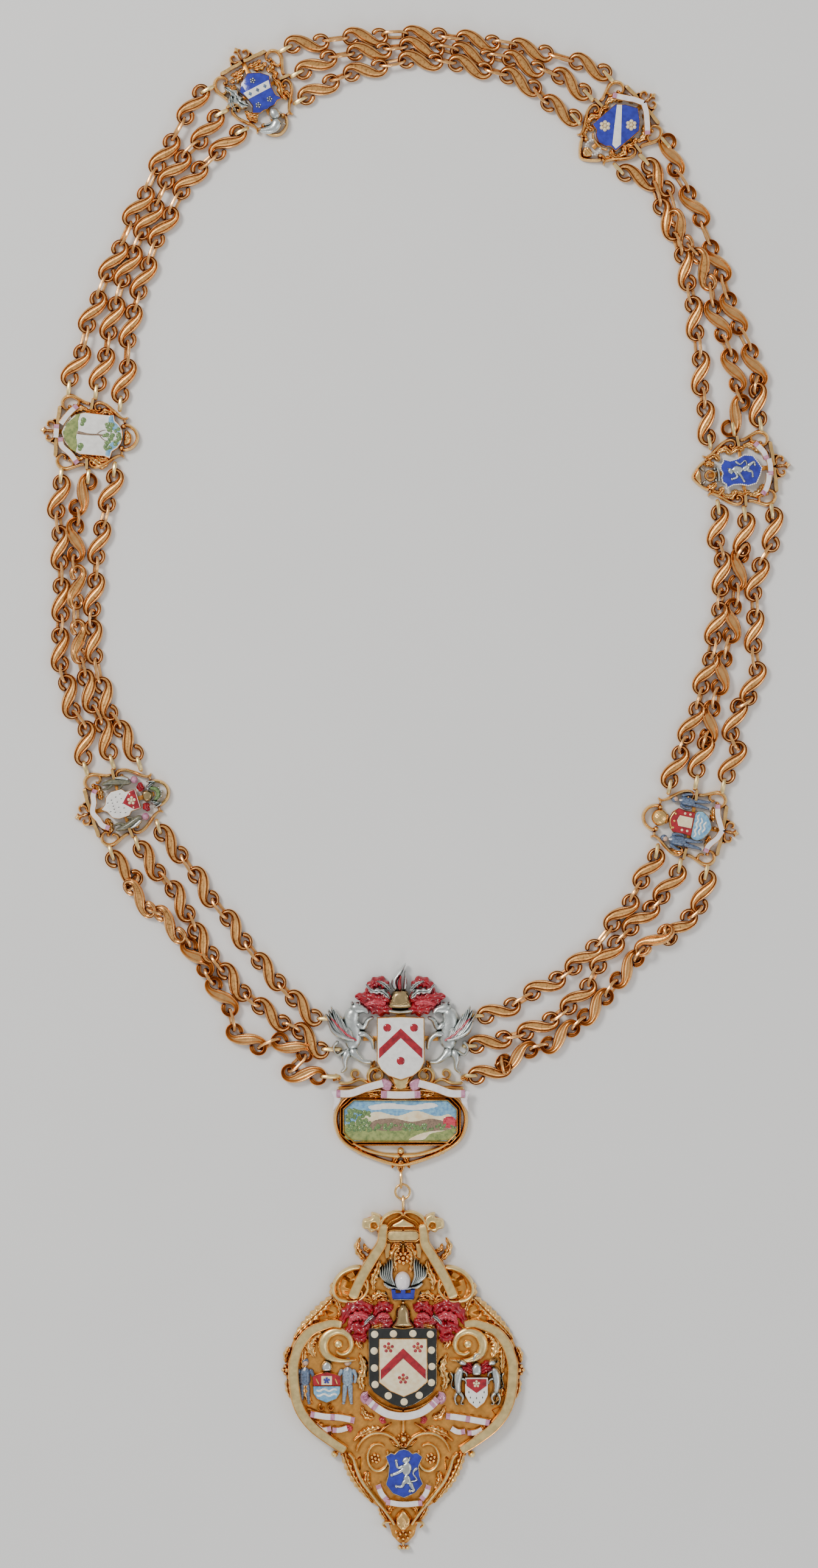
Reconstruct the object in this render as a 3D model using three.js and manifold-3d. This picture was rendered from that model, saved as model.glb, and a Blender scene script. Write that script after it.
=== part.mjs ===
// A chain of office laid out flat: three strands of gold scroll links run through six enamelled
// badges to a centrepiece, and a large pendant badge hangs from the centrepiece on a jump ring.
// Millimetres, +Z up, lying on z = 0, with +Y pointing from the pendant to the nape of the neck.
import * as THREE from "three";
import { mergeVertices } from "three/addons/utils/BufferGeometryUtils.js";
import Module from "manifold-3d";

const wasm = await Module();
wasm.setup();

// ---- Driving dimensions -----------------------------------------------------------------------

const GAP = 0.3; // clearance kept between pieces that touch
const BAND = 1.5; // width of the gold strips that make a badge frame
const FRAME_TOP = 3.2; // height of the gold frames above the table
const PLATE_TOP = 1.4; // height of the thin backing behind the enamel
const ENAMEL_BASE = PLATE_TOP + GAP; // underside of shields and figures
const SHIELD_TOP = FRAME_TOP; // face of a badge shield
const RIBBON_BASE = FRAME_TOP + GAP; // ribbons lie over the frames and shields
const RIBBON_TOP = RIBBON_BASE + 1;
const FIGURE_TOP = 4.6; // height of the raised supporters and crests

const STRAND_THICK = 3.4; // how tall a strand of links lies
const STRAND_STEP = 16; // length of one straight piece of a strand's tube
const SECTION_SIDES = 8;

const CENTRE = { x: -5.5, y: -136.5 }; // middle of the centrepiece's picture panel
const PENDANT = { x: -5, y: -238.7 }; // middle of the pendant's main shield
const PENDANT_PLATE = 2; // thickness of the pendant's recessed ground
const PENDANT_BAND = 5; // height of its bright flat bands
const VOLUTE_TOP = 3.6; // height of the volutes that pass behind its lower shield
const PENDANT_TOP = 6.6; // height of its shields, ribbons and figures

// ---- Materials: each mesh gets its own --------------------------------------------------------

const FINISH = {
  link_gold: { color: 0xc98c46, roughness: 0.34, metalness: 1 },
  frame_gold: { color: 0xeec06a, roughness: 0.26, metalness: 1 },
  silver: { color: 0xb9c0bd, roughness: 0.4, metalness: 1 },
  bronze: { color: 0x9a7440, roughness: 0.4, metalness: 1 },
  blue_enamel: { color: 0x1f2f93, roughness: 0.14, metalness: 0 },
  white_enamel: { color: 0xf4f2ec, roughness: 0.14, metalness: 0 },
  red_enamel: { color: 0x95101c, roughness: 0.14, metalness: 0 },
  black_enamel: { color: 0x0c0d0c, roughness: 0.14, metalness: 0 },
  dark_enamel: { color: 0x4f5f78, roughness: 0.3, metalness: 0 },
  painted_enamel: { color: 0xb9c9b4, roughness: 0.16, metalness: 0 },
  ribbon_enamel: { color: 0xf0dfe2, roughness: 0.14, metalness: 0 },
};

// ---- Solids from outlines ---------------------------------------------------------------------

// The closed solid of a three.js geometry.
function solid(geometry) {
  geometry.deleteAttribute("normal");
  geometry.deleteAttribute("uv");
  const merged = mergeVertices(geometry, 1e-4);
  return new wasm.Manifold(
    new wasm.Mesh({
      numProp: 3,
      vertProperties: merged.attributes.position.array,
      triVerts: new Uint32Array(merged.index.array),
    }),
  );
}

const join = (...parts) => parts.flat(Infinity).reduce((all, part) => all.add(part));
const cut = (body, ...holes) => holes.flat(Infinity).reduce((left, hole) => left.subtract(hole), body);
const both = (make) => [make(-1), make(1)]; // the same piece on the left and the right
const flip = (points, side) => points.map(([x, y]) => [x * side, y]);
const shift = (points, dx, dy) => points.map(([x, y]) => [x + dx, y + dy]);

// A shape from an outline and the openings in it, all turned the same way round.
function shapeOf(outline, openings = []) {
  const turned = ([...points]) => {
    const path = points.map(([x, y]) => new THREE.Vector2(x, y));
    return THREE.ShapeUtils.isClockWise(path) ? path.reverse() : path;
  };
  const shape = new THREE.Shape(turned(outline));
  shape.holes.push(...openings.map((opening) => new THREE.Path(turned(opening))));
  return shape;
}

// A flat plate of the given outline, from height z0 to z1.
function plate(points, z0, z1) {
  const extruded = new THREE.ExtrudeGeometry(shapeOf(points), {
    depth: z1 - z0,
    bevelEnabled: false,
  });
  return solid(extruded.translate(0, 0, z0));
}

// A flat strip along a smooth centre line, its width changing evenly from end to end.
function band(points, startWidth, endWidth, z0, z1, pieces) {
  const path = points.map(([x, y]) => new THREE.Vector3(x, y, 0));
  const curve = new THREE.CatmullRomCurve3(path, false, "centripetal");
  const left = [];
  const right = [];
  for (let i = 0; i <= pieces; i++) {
    const p = curve.getPointAt(i / pieces);
    const t = curve.getTangentAt(i / pieces);
    const half = (startWidth + ((endWidth - startWidth) * i) / pieces) / 2;
    left.push([p.x - t.y * half, p.y + t.x * half]);
    right.unshift([p.x + t.y * half, p.y - t.x * half]);
  }
  return plate([...left, ...right], z0, z1);
}

// Points on an arc or a spiral, from angle a0 to a1 in degrees and radius r0 to r1.
function arc(cx, cy, r0, r1, a0, a1, count) {
  return Array.from({ length: count + 1 }, (_, i) => {
    const angle = THREE.MathUtils.degToRad(a0 + ((a1 - a0) * i) / count);
    const r = r0 + ((r1 - r0) * i) / count;
    return [cx + r * Math.cos(angle), cy + r * Math.sin(angle)];
  });
}

// A round-topped boss: a few stacked rings turned on a lathe.
function boss(cx, cy, r, z0, z1, sides = 8) {
  const h = z1 - z0;
  const profile = [
    [0, 0],
    [r, 0],
    [r, 0.35 * h],
    [0.7 * r, 0.8 * h],
    [0, h],
  ].map(([x, y]) => new THREE.Vector2(x, y));
  const turned = new THREE.LatheGeometry(profile, sides);
  return solid(turned.rotateX(Math.PI / 2).translate(cx, cy, z0));
}

// One named mesh of a solid, in its own material.
function mesh(name, body, finish) {
  const made = body.getMesh();
  const geometry = new THREE.BufferGeometry();
  const position = Array.from({ length: made.numVert }, (_, i) => [
    ...made.vertProperties.subarray(i * made.numProp, i * made.numProp + 3),
  ]);
  geometry.setAttribute("position", new THREE.Float32BufferAttribute(position.flat(), 3));
  geometry.setIndex([...made.triVerts]);
  geometry.computeVertexNormals();
  const result = new THREE.Mesh(geometry, new THREE.MeshStandardMaterial(FINISH[finish]));
  result.name = name;
  return result;
}

// ---- The six badges ---------------------------------------------------------------------------

// Each badge stands with its crest towards the neck. Its own frame has x across and y towards the
// crest; turn is the direction of the crest, in degrees from +X.
const BADGES = {
  left_low: { x: -120.8, y: -6, turn: 17.1 },
  left_middle: { x: -134.2, y: 145.9, turn: -5.2 },
  left_high: { x: -64.8, y: 287.1, turn: -62.3 },
  right_high: { x: 83.6, y: 272.8, turn: 220.9 },
  right_middle: { x: 134.4, y: 130.8, turn: 187.6 },
  right_low: { x: 113.4, y: -14.6, turn: 168.8 },
};

// The three loops on each side of a badge, one for each strand: reach is the loop's outer end.
const LOOPS = {
  inner: { reach: 14, root: 9.4, y: 11.9 },
  middle: { reach: 18.2, root: 14, y: 1.2 },
  outer: { reach: 19.2, root: 14.2, y: -9.6 },
};
const LOOP_WIDE = 2; // how wide a loop looks edge-on
const LOOP_WIRE = 0.9;

// A flat-sided loop standing on edge, pierced across, reaching out from root to reach.
function standingLoop(root, reach, y) {
  const inward = Math.sign(reach) * LOOP_WIRE;
  const outer = [
    [root, 0],
    [reach, 0],
    [reach, FRAME_TOP],
    [root, FRAME_TOP],
  ];
  const hole = [
    [root + 1.6 * inward, LOOP_WIRE],
    [reach - inward, LOOP_WIRE],
    [reach - inward, FRAME_TOP - LOOP_WIRE],
    [root + 1.6 * inward, FRAME_TOP - LOOP_WIRE],
  ];
  const pierced = new THREE.ExtrudeGeometry(shapeOf(outer, [hole]), {
    depth: LOOP_WIDE,
    bevelEnabled: false,
  });
  return solid(pierced.rotateX(Math.PI / 2).translate(0, y + LOOP_WIDE / 2, 0));
}

// The gold openwork that every badge shares: scrolled sides, a strap with a fleur-de-lis below,
// and an arch over the crest.
function badgeFrame() {
  const strip = (points, w0, w1, pieces) => band(points, w0, w1, 0, FRAME_TOP, pieces);
  const upperScroll = [[7.9, 15.4], [7.7, 13.4], [9, 10.8], [11.8, 7.6], [13.3, 4.2], [12.6, 1.2]];
  const lowerScroll = [
    [12.8, -0.4], [13.4, -3.4], [15, -8.6], [13.6, -12], [10.6, -12], [9.8, -9.4], [11, -8],
  ];
  const fleur = [
    [-0.9, -13.4], [-2.6, -14.2], [-3.9, -15.4], [-3.2, -17.4], [-1.5, -17],
    [0, -20.2], [1.5, -17], [3.2, -17.4], [3.9, -15.4], [2.6, -14.2], [0.9, -13.4],
  ];
  const sides = both((s) => [
    strip(flip(upperScroll, s), BAND, BAND, 4),
    strip(flip(lowerScroll, s), BAND, 1, 7),
    strip(flip([[14.6, 0.4], [11.4, 0.4]], s), 1.3, 1.3, 1),
    strip(flip([[13.6, -12.4], [-0.4, -13.7]], s), BAND, BAND, 1),
    strip(flip([[4.4, 14], [8, 14.2]], s), 1.3, 1.3, 1),
    Object.values(LOOPS).map((loop) => standingLoop(s * loop.root, s * loop.reach, loop.y)),
  ]);
  const backing = [
    plate([[-12, -0.2], [12, -0.2], [12, 1], [-12, 1]], 0, PLATE_TOP),
    plate([[-1.2, -13.6], [1.2, -13.6], [1.2, 18.8], [-1.2, 18.8]], 0, PLATE_TOP),
  ];
  return join(
    sides,
    backing,
    strip(arc(0, 14.2, 5, 5, 180, 0, 6), BAND, BAND, 6),
    plate(fleur, 0, FRAME_TOP),
  );
}

// What each badge carries: the outline of its shield, the raised forms around it, and any part of
// the crest that reaches over the frame.
const ARMS = {
  left_low: {
    finish: "white_enamel",
    shield: [
      [-4.1, 7.2], [4, 7.2], [4, 2.2], [5.5, 1.4], [5.6, -2.6], [4.4, -5.2], [1.5, -6.6],
      [0, -8.6], [-1.5, -6.6], [-4.4, -5.2], [-5.8, -2.6], [-5.7, 1.4], [-4.1, 2.2],
    ],
    raised: [
      [[-2.6, 7.6], [2.6, 7.6], [3.4, 10.4], [2, 14.6], [0, 16.2], [-2, 14.6], [-3.4, 10.4]],
      [[-6.3, 9.4], [-8.8, 9.6], [-10.2, 5], [-11, -1], [-10.4, -6.4], [-7.2, -6.2], [-6.4, 1.4]],
      [[6.3, 9.4], [8.6, 9.6], [9.6, 5], [11, 0], [10.4, -6.4], [7.4, -6.2], [6.4, 1.4]],
    ],
    ribbon: [[-8.6, -8.6], [-4.6, -11], [0, -12.2], [4.4, -10.9], [8.2, -8.3]],
  },
  left_middle: {
    finish: "painted_enamel",
    shield: [
      [-8.2, 9.4], [-5.8, 10.8], [-3.4, 13.2], [0, 14], [3.4, 13.2], [5.8, 10.8], [8.2, 9.4],
      [8.3, 7.6], [8.5, -3], [7, -6.6], [3.8, -9.6], [0.2, -11.2], [-3.8, -9.6], [-7.4, -6.2],
      [-8.6, -2.4], [-8.3, 7.6],
    ],
    raised: [],
    ribbon: [[-10.2, -6.2], [-6.4, -9.8], [-2.4, -12.6], [2.4, -12.6], [6.4, -10.2], [11.6, -4.4]],
  },
  left_high: {
    finish: "blue_enamel",
    shield: [
      [-7, 8], [-4.8, 7.6], [-2.4, 8.6], [0, 8], [2.4, 8.6], [4.6, 7.6], [6.2, 8.2],
      [4.9, 4], [5.8, 0], [6.8, -2.6], [4.6, -5.6], [0.4, -8.2], [-4.2, -5.8],
      [-6.8, -2.6], [-5.4, 2.6], [-6, 5.4],
    ],
    raised: [
      [[-3.6, 9], [3, 9], [3.4, 12.6], [2.6, 16.4], [-2.4, 16.4], [-3.6, 12.6]],
      [[7.4, 2.2], [11, 3.2], [11, -5.2], [9.2, -6.4], [8, -2.4]],
    ],
    over: [[-2.6, 12.4], [2.4, 12.4], [7.6, 14], [6, 17.4], [0.8, 18.2], [-2.6, 15.8]],
    ribbon: null,
  },
  right_high: {
    finish: "blue_enamel",
    shield: [
      [-7.3, 8.3], [-3, 9.2], [0, 11], [3, 9.2], [7.3, 8.3], [7.3, -4.4], [4.6, -7.4],
      [0, -10.6], [-4.6, -7.4], [-7.3, -4.4],
    ],
    raised: [[[-2.9, 11.4], [2.9, 11.4], [3.4, 14.4], [1.6, 17.4], [-1.6, 17.4], [-3.4, 14.4]]],
    ribbon: [[-10.4, -7], [-5.6, -10.6], [0, -13], [5.4, -10.2], [9.8, -6.6]],
  },
  right_middle: {
    finish: "blue_enamel",
    shield: [
      [-6.3, 7.6], [-4.4, 9.2], [-1.8, 8.2], [0, 8.7], [1.8, 8.2], [3.8, 9.2], [5.4, 7.8],
      [5, 4], [6.2, -1], [5.8, -4.8], [0.2, -8.4], [-5.8, -4.8], [-6.4, -1], [-5.4, 4],
    ],
    raised: [[[-2.5, 9.2], [2.5, 9.2], [3.2, 13], [1.6, 16], [-1.8, 16], [-3.2, 13]]],
    ribbon: [[-11, -6.6], [-6.6, -9.6], [0, -11], [6.4, -9.2], [10.8, -6.4]],
  },
  right_low: {
    finish: "red_enamel",
    shield: [
      [-4.4, 9], [4.8, 9], [5.2, 1], [6, -1], [5.5, -5], [0, -8.2], [-5.3, -5], [-6, -1],
      [-4.8, 1],
    ],
    raised: [
      arc(0.3, 13.2, 3.6, 3.6, 0, 315, 7),
      [[-5.8, 12], [-6.8, 12.2], [-8.8, 4], [-9.8, -5.6], [-6.8, -5.8], [-6.4, 1]],
      [[6.6, 10], [8.4, 9.6], [11, 2], [10.4, -5], [9, -6], [7.8, -3], [6.6, 1]],
    ],
    ribbon: [[-10.2, -8], [-5.4, -10.4], [0, -12.6], [5.4, -10.4], [10.2, -8]],
  },
};

function badge(name) {
  const { x, y, turn } = BADGES[name];
  const { finish, shield, raised, over, ribbon } = ARMS[name];
  const group = new THREE.Group();
  const arms = [plate(shield, ENAMEL_BASE, SHIELD_TOP)];
  arms.push(...raised.map((outline) => plate(outline, ENAMEL_BASE, FIGURE_TOP)));
  arms.push(plate([[-8, 0.6], [8.6, 0.6], [8.6, -0.6], [-8, -0.6]], ENAMEL_BASE, ENAMEL_BASE + 0.6));
  arms.push(plate([[-0.8, 0], [0.8, 0], [0.8, 12], [-0.8, 12]], ENAMEL_BASE, ENAMEL_BASE + 0.6));
  if (over) arms.push(plate(over, RIBBON_BASE, FIGURE_TOP + 0.6));
  group.add(mesh(`badge_${name}_frame`, badgeFrame(), "frame_gold"));
  group.add(mesh(`badge_${name}_arms`, join(arms), finish));
  if (ribbon) {
    const strip = band(ribbon, 2.2, 2.2, RIBBON_BASE, RIBBON_TOP, 8);
    group.add(mesh(`badge_${name}_ribbon`, strip, "ribbon_enamel"));
  }
  group.position.set(x, y, 0);
  group.rotation.z = THREE.MathUtils.degToRad(turn - 90);
  return group;
}

// ---- The strands of links ---------------------------------------------------------------------

// Where the links lie between two ends, in order from the first end to the last. The end is a
// badge with the side its loops are on (1 is the badge's own right), or the centrepiece.
const SPANS = [
  {
    from: ["centre", -1],
    to: ["left_low", 1],
    width: 5,
    inner: [[-45.8, -90], [-60.3, -75], [-73.7, -57.8], [-87.1, -40.2], [-100.4, -22.5]],
    middle: [[-43.1, -103.4], [-59.2, -92.7], [-74.5, -79.3], [-87.1, -63.2], [-96.7, -46.1],
      [-109.3, -29.5]],
    outer: [[-45.8, -117.3], [-50.6, -108], [-69.4, -102.8], [-79.5, -86.5], [-90.2, -69.6],
      [-101, -55.2], [-112.8, -44.5], [-119.7, -32.7]],
  },
  {
    from: ["left_low", -1],
    to: ["left_middle", 1],
    width: 5.8,
    inner: [[-117.8, 19.8], [-126.4, 37.4], [-131.5, 60.5], [-131.6, 79.8], [-129.9, 101.3],
      [-125.1, 122.7]],
    middle: [[-127.2, 20.9], [-134.4, 39.6], [-138.7, 60.5], [-139.3, 83], [-138.8, 102.3],
      [-136, 119]],
    outer: [[-135.8, 18.8], [-142.2, 38], [-146, 57.3], [-146.4, 77.7], [-146.6, 99.1],
      [-146.5, 118.5]],
  },
  {
    from: ["left_middle", -1],
    to: ["left_high", 1],
    width: 6.2,
    inner: [[-119.7, 167.7], [-117, 190.2], [-111.7, 210], [-103.6, 230.9], [-92.4, 250.2],
      [-77.1, 265.7]],
    middle: [[-128.8, 172.5], [-124.5, 193.4], [-118.1, 214.8], [-109.5, 234.1], [-99, 254.5],
      [-85.4, 271.1]],
    outer: [[-139.5, 174.1], [-132.6, 196.1], [-124.6, 217.4], [-114.4, 240], [-103.4, 261.3],
      [-91.3, 281.3]],
  },
  {
    from: ["left_high", -1],
    to: ["right_high", 1],
    width: 4.4,
    outerWidth: 6.6,
    inner: [[-39.9, 287.7], [-20.6, 295.2], [2.2, 299.2], [22.6, 296.6], [43.4, 290.9],
      [60.1, 279.1]],
    middle: [[-41, 297.9], [-19, 303.1], [2.7, 304.6], [23.6, 302], [44.5, 297.2],
      [64.3, 288.2]],
    outer: [[-44.7, 307.2], [-20.6, 310.1], [3.8, 310.9], [25.8, 308.4], [47.7, 304.4],
      [71.4, 297.2]],
  },
  {
    from: ["right_high", -1],
    to: ["right_middle", 1],
    width: 4.8,
    inner: [[91.7, 251.3], [102.8, 233.8], [110.9, 213.8], [114.7, 193.4], [117.2, 170.9],
      [119.5, 150.5]],
    middle: [[99.9, 251.5], [110.2, 231.6], [117.8, 213.8], [124.1, 192.3], [130, 172],
      [131.6, 154]],
    outer: [[108, 258.6], [115.5, 239.5], [123.9, 217], [131.4, 195.5], [139.3, 174.1],
      [141.2, 158]],
  },
  {
    from: ["right_middle", -1],
    to: ["right_low", 1],
    width: 5.4,
    inner: [[124.3, 107.7], [125.4, 88.4], [123.2, 68], [119, 47.7], [113.2, 27.3],
      [106.7, 9.1]],
    middle: [[135.1, 104.5], [132.9, 90.5], [130.6, 69.1], [126.4, 47.7], [121.1, 27.3],
      [117.5, 13.4]],
    outer: [[146.4, 106.6], [141, 86.2], [139.3, 64.8], [137.6, 43.4], [132.6, 28.4],
      [129.6, 11.4]],
  },
  {
    from: ["right_low", -1],
    to: ["centre", 1],
    width: 5.8,
    inner: [[95.9, -32.7], [84.7, -50.9], [69.2, -69.1], [53.1, -80.9], [34.3, -91.1]],
    middle: [[104.5, -39.1], [92.7, -54], [78.8, -69.4], [67, -84.6], [50.4, -96.9],
      [30.6, -103.4]],
    outer: [[118.4, -42.3], [108.3, -56.8], [96, -66.4], [84.4, -77.4], [74, -89.5],
      [59.5, -101.8], [41.8, -110.8], [30.6, -116.2]],
  },
];

// The loops at the sides of the centrepiece, measured from its middle.
const CENTRE_LOOPS = {
  inner: { "-1": [-32.6, 41.4], 1: [31.4, 42.8] },
  middle: { "-1": [-30.8, 28.8], 1: [28.5, 30.4] },
  outer: { "-1": [-31.2, 18], 1: [28.6, 18.2] },
};
const LEVELS = ["inner", "middle", "outer"];

// The point where a strand starts or ends, just clear of the loop that holds it.
function strandEnd([place, side], level) {
  if (place === "centre") {
    const [x, y] = CENTRE_LOOPS[level][side];
    return new THREE.Vector3(CENTRE.x + x + side * 3 * GAP, CENTRE.y + y, STRAND_THICK / 2);
  }
  const { x, y, turn } = BADGES[place];
  const loop = LOOPS[level];
  return new THREE.Vector3(side * (loop.reach + 2 * GAP), loop.y, STRAND_THICK / 2)
    .applyAxisAngle(new THREE.Vector3(0, 0, 1), THREE.MathUtils.degToRad(turn - 90))
    .add(new THREE.Vector3(x, y, 0));
}

// One stretch of one strand: a flattened tube along the line of its links.
function strand(number, span, level) {
  const width = (level === "outer" && span.outerWidth) || span.width;
  const between = span[level].map(([x, y]) => new THREE.Vector3(x, y, STRAND_THICK / 2));
  const points = [strandEnd(span.from, level), ...between, strandEnd(span.to, level)];
  const route = new THREE.CatmullRomCurve3(points, false, "centripetal");
  const section = arc(0, 0, 1, 1, 0, 360, SECTION_SIDES).slice(0, -1);
  const turn = Math.PI / SECTION_SIDES;
  const grow = 1 / Math.cos(turn);
  const oval = section.map(([x, y]) => {
    const c = (x * Math.cos(turn) - y * Math.sin(turn)) * grow;
    const s = (x * Math.sin(turn) + y * Math.cos(turn)) * grow;
    return new THREE.Vector2((c * STRAND_THICK) / 2, (s * width) / 2);
  });
  const tube = new THREE.ExtrudeGeometry(new THREE.Shape(oval), {
    steps: Math.round(route.getLength() / STRAND_STEP),
    extrudePath: route,
  });
  return mesh(`chain_${number}_${level}`, solid(tube), "link_gold");
}

// ---- The centrepiece --------------------------------------------------------------------------

// Everything here is measured from the middle of the picture panel.
const CENTRE_BASE = 2; // thickness of the picture panel's backing

const PANEL = [
  [-24, 5], [-19.8, 8.8], [18.8, 8.8], [22.6, 5], [22.6, -4.6], [18.8, -8.4], [-19.8, -8.4],
  [-24, -4.6],
];

function centreFrame() {
  const top = 4;
  const hoop = [
    [0.5, 13], [-12, 12.6], [-22, 10.2], [-26.6, 4.6], [-27, -2], [-23.6, -8.6], [-15, -13.6],
    [-4, -17.4], [3, -17.4], [14, -13.6], [22.6, -8.6], [26, -2], [25.6, 4.6], [21, 10.2],
    [11, 12.6], [-1.5, 13],
  ];
  const moulding = [
    [-25.4, 5.5], [-20.4, 10.2], [19.4, 10.2], [24, 5.5], [24, -5.1], [19.4, -9.8],
    [-20.4, -9.8], [-25.4, -5.1],
  ];
  const rim = cut(plate(moulding, 0, top), plate(PANEL, CENTRE_BASE, top + 1));
  const foot = [
    [-3.4, -12], [-2.4, -10], [1.4, -10], [2.4, -12], [1.4, -15.4], [3.6, -19.4], [1.6, -19.8],
    [-0.4, -21.6], [-2.6, -19.8], [-4.6, -19.4], [-2.4, -15.4],
  ];
  const socket = [
    [-9, 21], [-4.4, 17.4], [-2.8, 12.6], [2, 12.6], [3.4, 17.4], [8, 21], [0, 16.6],
  ];
  const crescent = [[-17.4, -9.6], [-9, -12.8], [-0.5, -13.6], [8, -12.8], [16.4, -9.6]];
  const scrolls = both((s) => [
    band(arc(s * 9.8 - 0.5, 18.7, 4, 1.4, 90 - s * 170, 90 + s * 330, 12), 1.5, 1.2, 0, top, 12),
    band(arc(s * 18.6 - 0.5, 19.4, 2, 0.9, 270, 270 + s * 300, 6), 1.1, 1, 0, top, 6),
    band(shift(flip([[26, 15.4], [21.5, 15.2], [16.6, 17], [12.8, 19.6]], s), -0.5, 0), 2.4, 2,
      0, top, 4),
    band(shift(flip([[25, 14.4], [14, 17.6], [3, 16.4]], s), -0.5, 0), 2.4, 2, 0, PLATE_TOP, 2),
    plate(shift(flip([[24, 14.6], [28, 15.6], [28, 19.2], [25, 19.2]], s), -0.5, 0), 0, PLATE_TOP),
  ]);
  const loops = [
    standingLoopAt(-1, "outer"),
    standingLoopAt(1, "outer"),
    uprightLoop(-19.8, -27.6),
  ];
  return join(
    rim,
    plate([[-24.6, 5], [-20, 9.4], [19, 9.4], [23.2, 5], [23.2, -4.6], [19, -9], [-20, -9],
      [-24.6, -4.6]], 0, CENTRE_BASE),
    band(hoop, 1.9, 1.9, 0, 3.4, 22),
    band(crescent, 2.6, 2.6, 0, top, 6),
    band([[-0.5, 14], [-0.5, 52]], 4, 4, 0, PLATE_TOP, 1),
    band([[-16, 34], [15, 34]], 2.4, 2.4, 0, PLATE_TOP, 1),
    band([[-14, 45.4], [13, 45.4]], 2.4, 2.4, 0, PLATE_TOP, 1),
    plate(socket, 0, top - 0.8),
    plate(foot, 0, top),
    scrolls,
    loops,
  );
}

// A loop at the side of the centrepiece, standing on edge.
function standingLoopAt(side, level) {
  const [reach, y] = CENTRE_LOOPS[level][side];
  return standingLoop(reach - side * 4.6, reach, y);
}

// A loop on the middle line, standing on edge from y0 to y1 and pierced from side to side.
function uprightLoop(y0, y1) {
  const wire = 0.8;
  const out = Math.sign(y1 - y0) * wire;
  const top = 3.8;
  const outline = [[y0, 0], [y1 - out, 0], [y1, 1], [y1, top - 1], [y1 - out, top], [y0, top]];
  const hole = [[y0 + 1.3 * out, wire], [y1 - out, wire], [y1 - out, top - wire],
    [y0 + 1.3 * out, top - wire]];
  const pierced = new THREE.ExtrudeGeometry(shapeOf(outline, [hole]), {
    depth: 1.5 * wire,
    bevelEnabled: false,
  });
  const upright = new THREE.Matrix4().makeBasis(
    new THREE.Vector3(0, 1, 0),
    new THREE.Vector3(0, 0, 1),
    new THREE.Vector3(1, 0, 0),
  );
  return solid(pierced.applyMatrix4(upright).translate(-0.75 * wire, 0, 0));
}

// A rearing griffin beside the shield, with its wing raised behind it. It faces the shield.
const GRIFFIN = [
  [10.2, 42.8], [12, 42.9], [14.9, 39.8], [16.6, 41.6], [12.6, 43.3], [13.8, 45], [12.6, 46.4],
  [16.4, 47.6], [21.8, 48.8], [22.6, 43.4], [24.6, 41.6], [26.8, 47.8], [27.6, 42.6],
  [31.6, 47.4], [30.6, 40.6], [28.9, 35.6], [26.6, 33.4], [28, 29.6], [27.4, 26.4], [25.4, 28],
  [24.8, 23.6], [23.6, 21.2], [25.4, 19.8], [22.4, 19.6], [22.2, 22.4], [20.2, 28.2],
  [18.4, 25.6], [15, 23.6], [11, 23.8], [11.2, 25.2], [14.4, 25.2], [16.6, 28.4], [17.4, 32],
  [15.8, 34.8], [12.8, 34], [12.7, 30], [10.6, 28.4], [10.5, 34.6], [15, 37.2], [13.6, 40.6],
];
const WING = [
  [17.6, 33], [19.4, 31.8], [26.6, 35], [29, 36.4], [30.4, 40.8], [31.2, 46.6], [28, 42.8],
  [22.6, 37.4],
];

// The griffin and the two strand loops soldered behind it.
function griffin(side) {
  const place = (points) => shift(flip(points, side), -0.5, 0);
  const lug = (level) => {
    const [reach, y] = CENTRE_LOOPS[level][side];
    return [
      standingLoop(reach - side * 4.4, reach, y),
      plate([[reach - side * 5.3, y - 1.5], [reach - side * 2.5, y - 1.5],
        [reach - side * 2.5, y + 1.5], [reach - side * 5.3, y + 1.5]], 0, ENAMEL_BASE + 0.5),
    ];
  };
  return join(
    plate(place(GRIFFIN), ENAMEL_BASE, 4.6),
    plate(place(WING), ENAMEL_BASE, 5.6),
    lug("inner"),
    lug("middle"),
  );
}

// The helmet, the crest above it and the leafy mantling on both sides.
function centreCrest() {
  const mantling = [
    [3, 44.4], [9.4, 44.6], [12.6, 46.8], [16.8, 48.8], [22, 50], [17.6, 54.2], [14, 53.2],
    [12.6, 55.8], [7.4, 58.4], [4.2, 56.2], [6, 52.4], [2.4, 50.4],
  ];
  const helmet = [[-5, 44.4], [3.6, 44.4], [2.8, 50.4], [1.8, 53.2], [-3.6, 53.2], [-4.8, 50.4]];
  const spike = [[-3.4, 52.6], [1.4, 52.6], [1.4, 61.6], [1.8, 65], [-1, 62.2], [-4.2, 58.4],
    [-2.2, 56.4]];
  return join(
    both((s) => plate(shift(flip(mantling, s), -0.7, 0), ENAMEL_BASE, 4.2)),
    plate(helmet, ENAMEL_BASE, 5.2),
    plate(spike, ENAMEL_BASE, 4.4),
    plate([[-6, 44.8], [5, 44.8], [5, 46.6], [-6, 46.6]], ENAMEL_BASE, ENAMEL_BASE + 1),
  );
}

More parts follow.
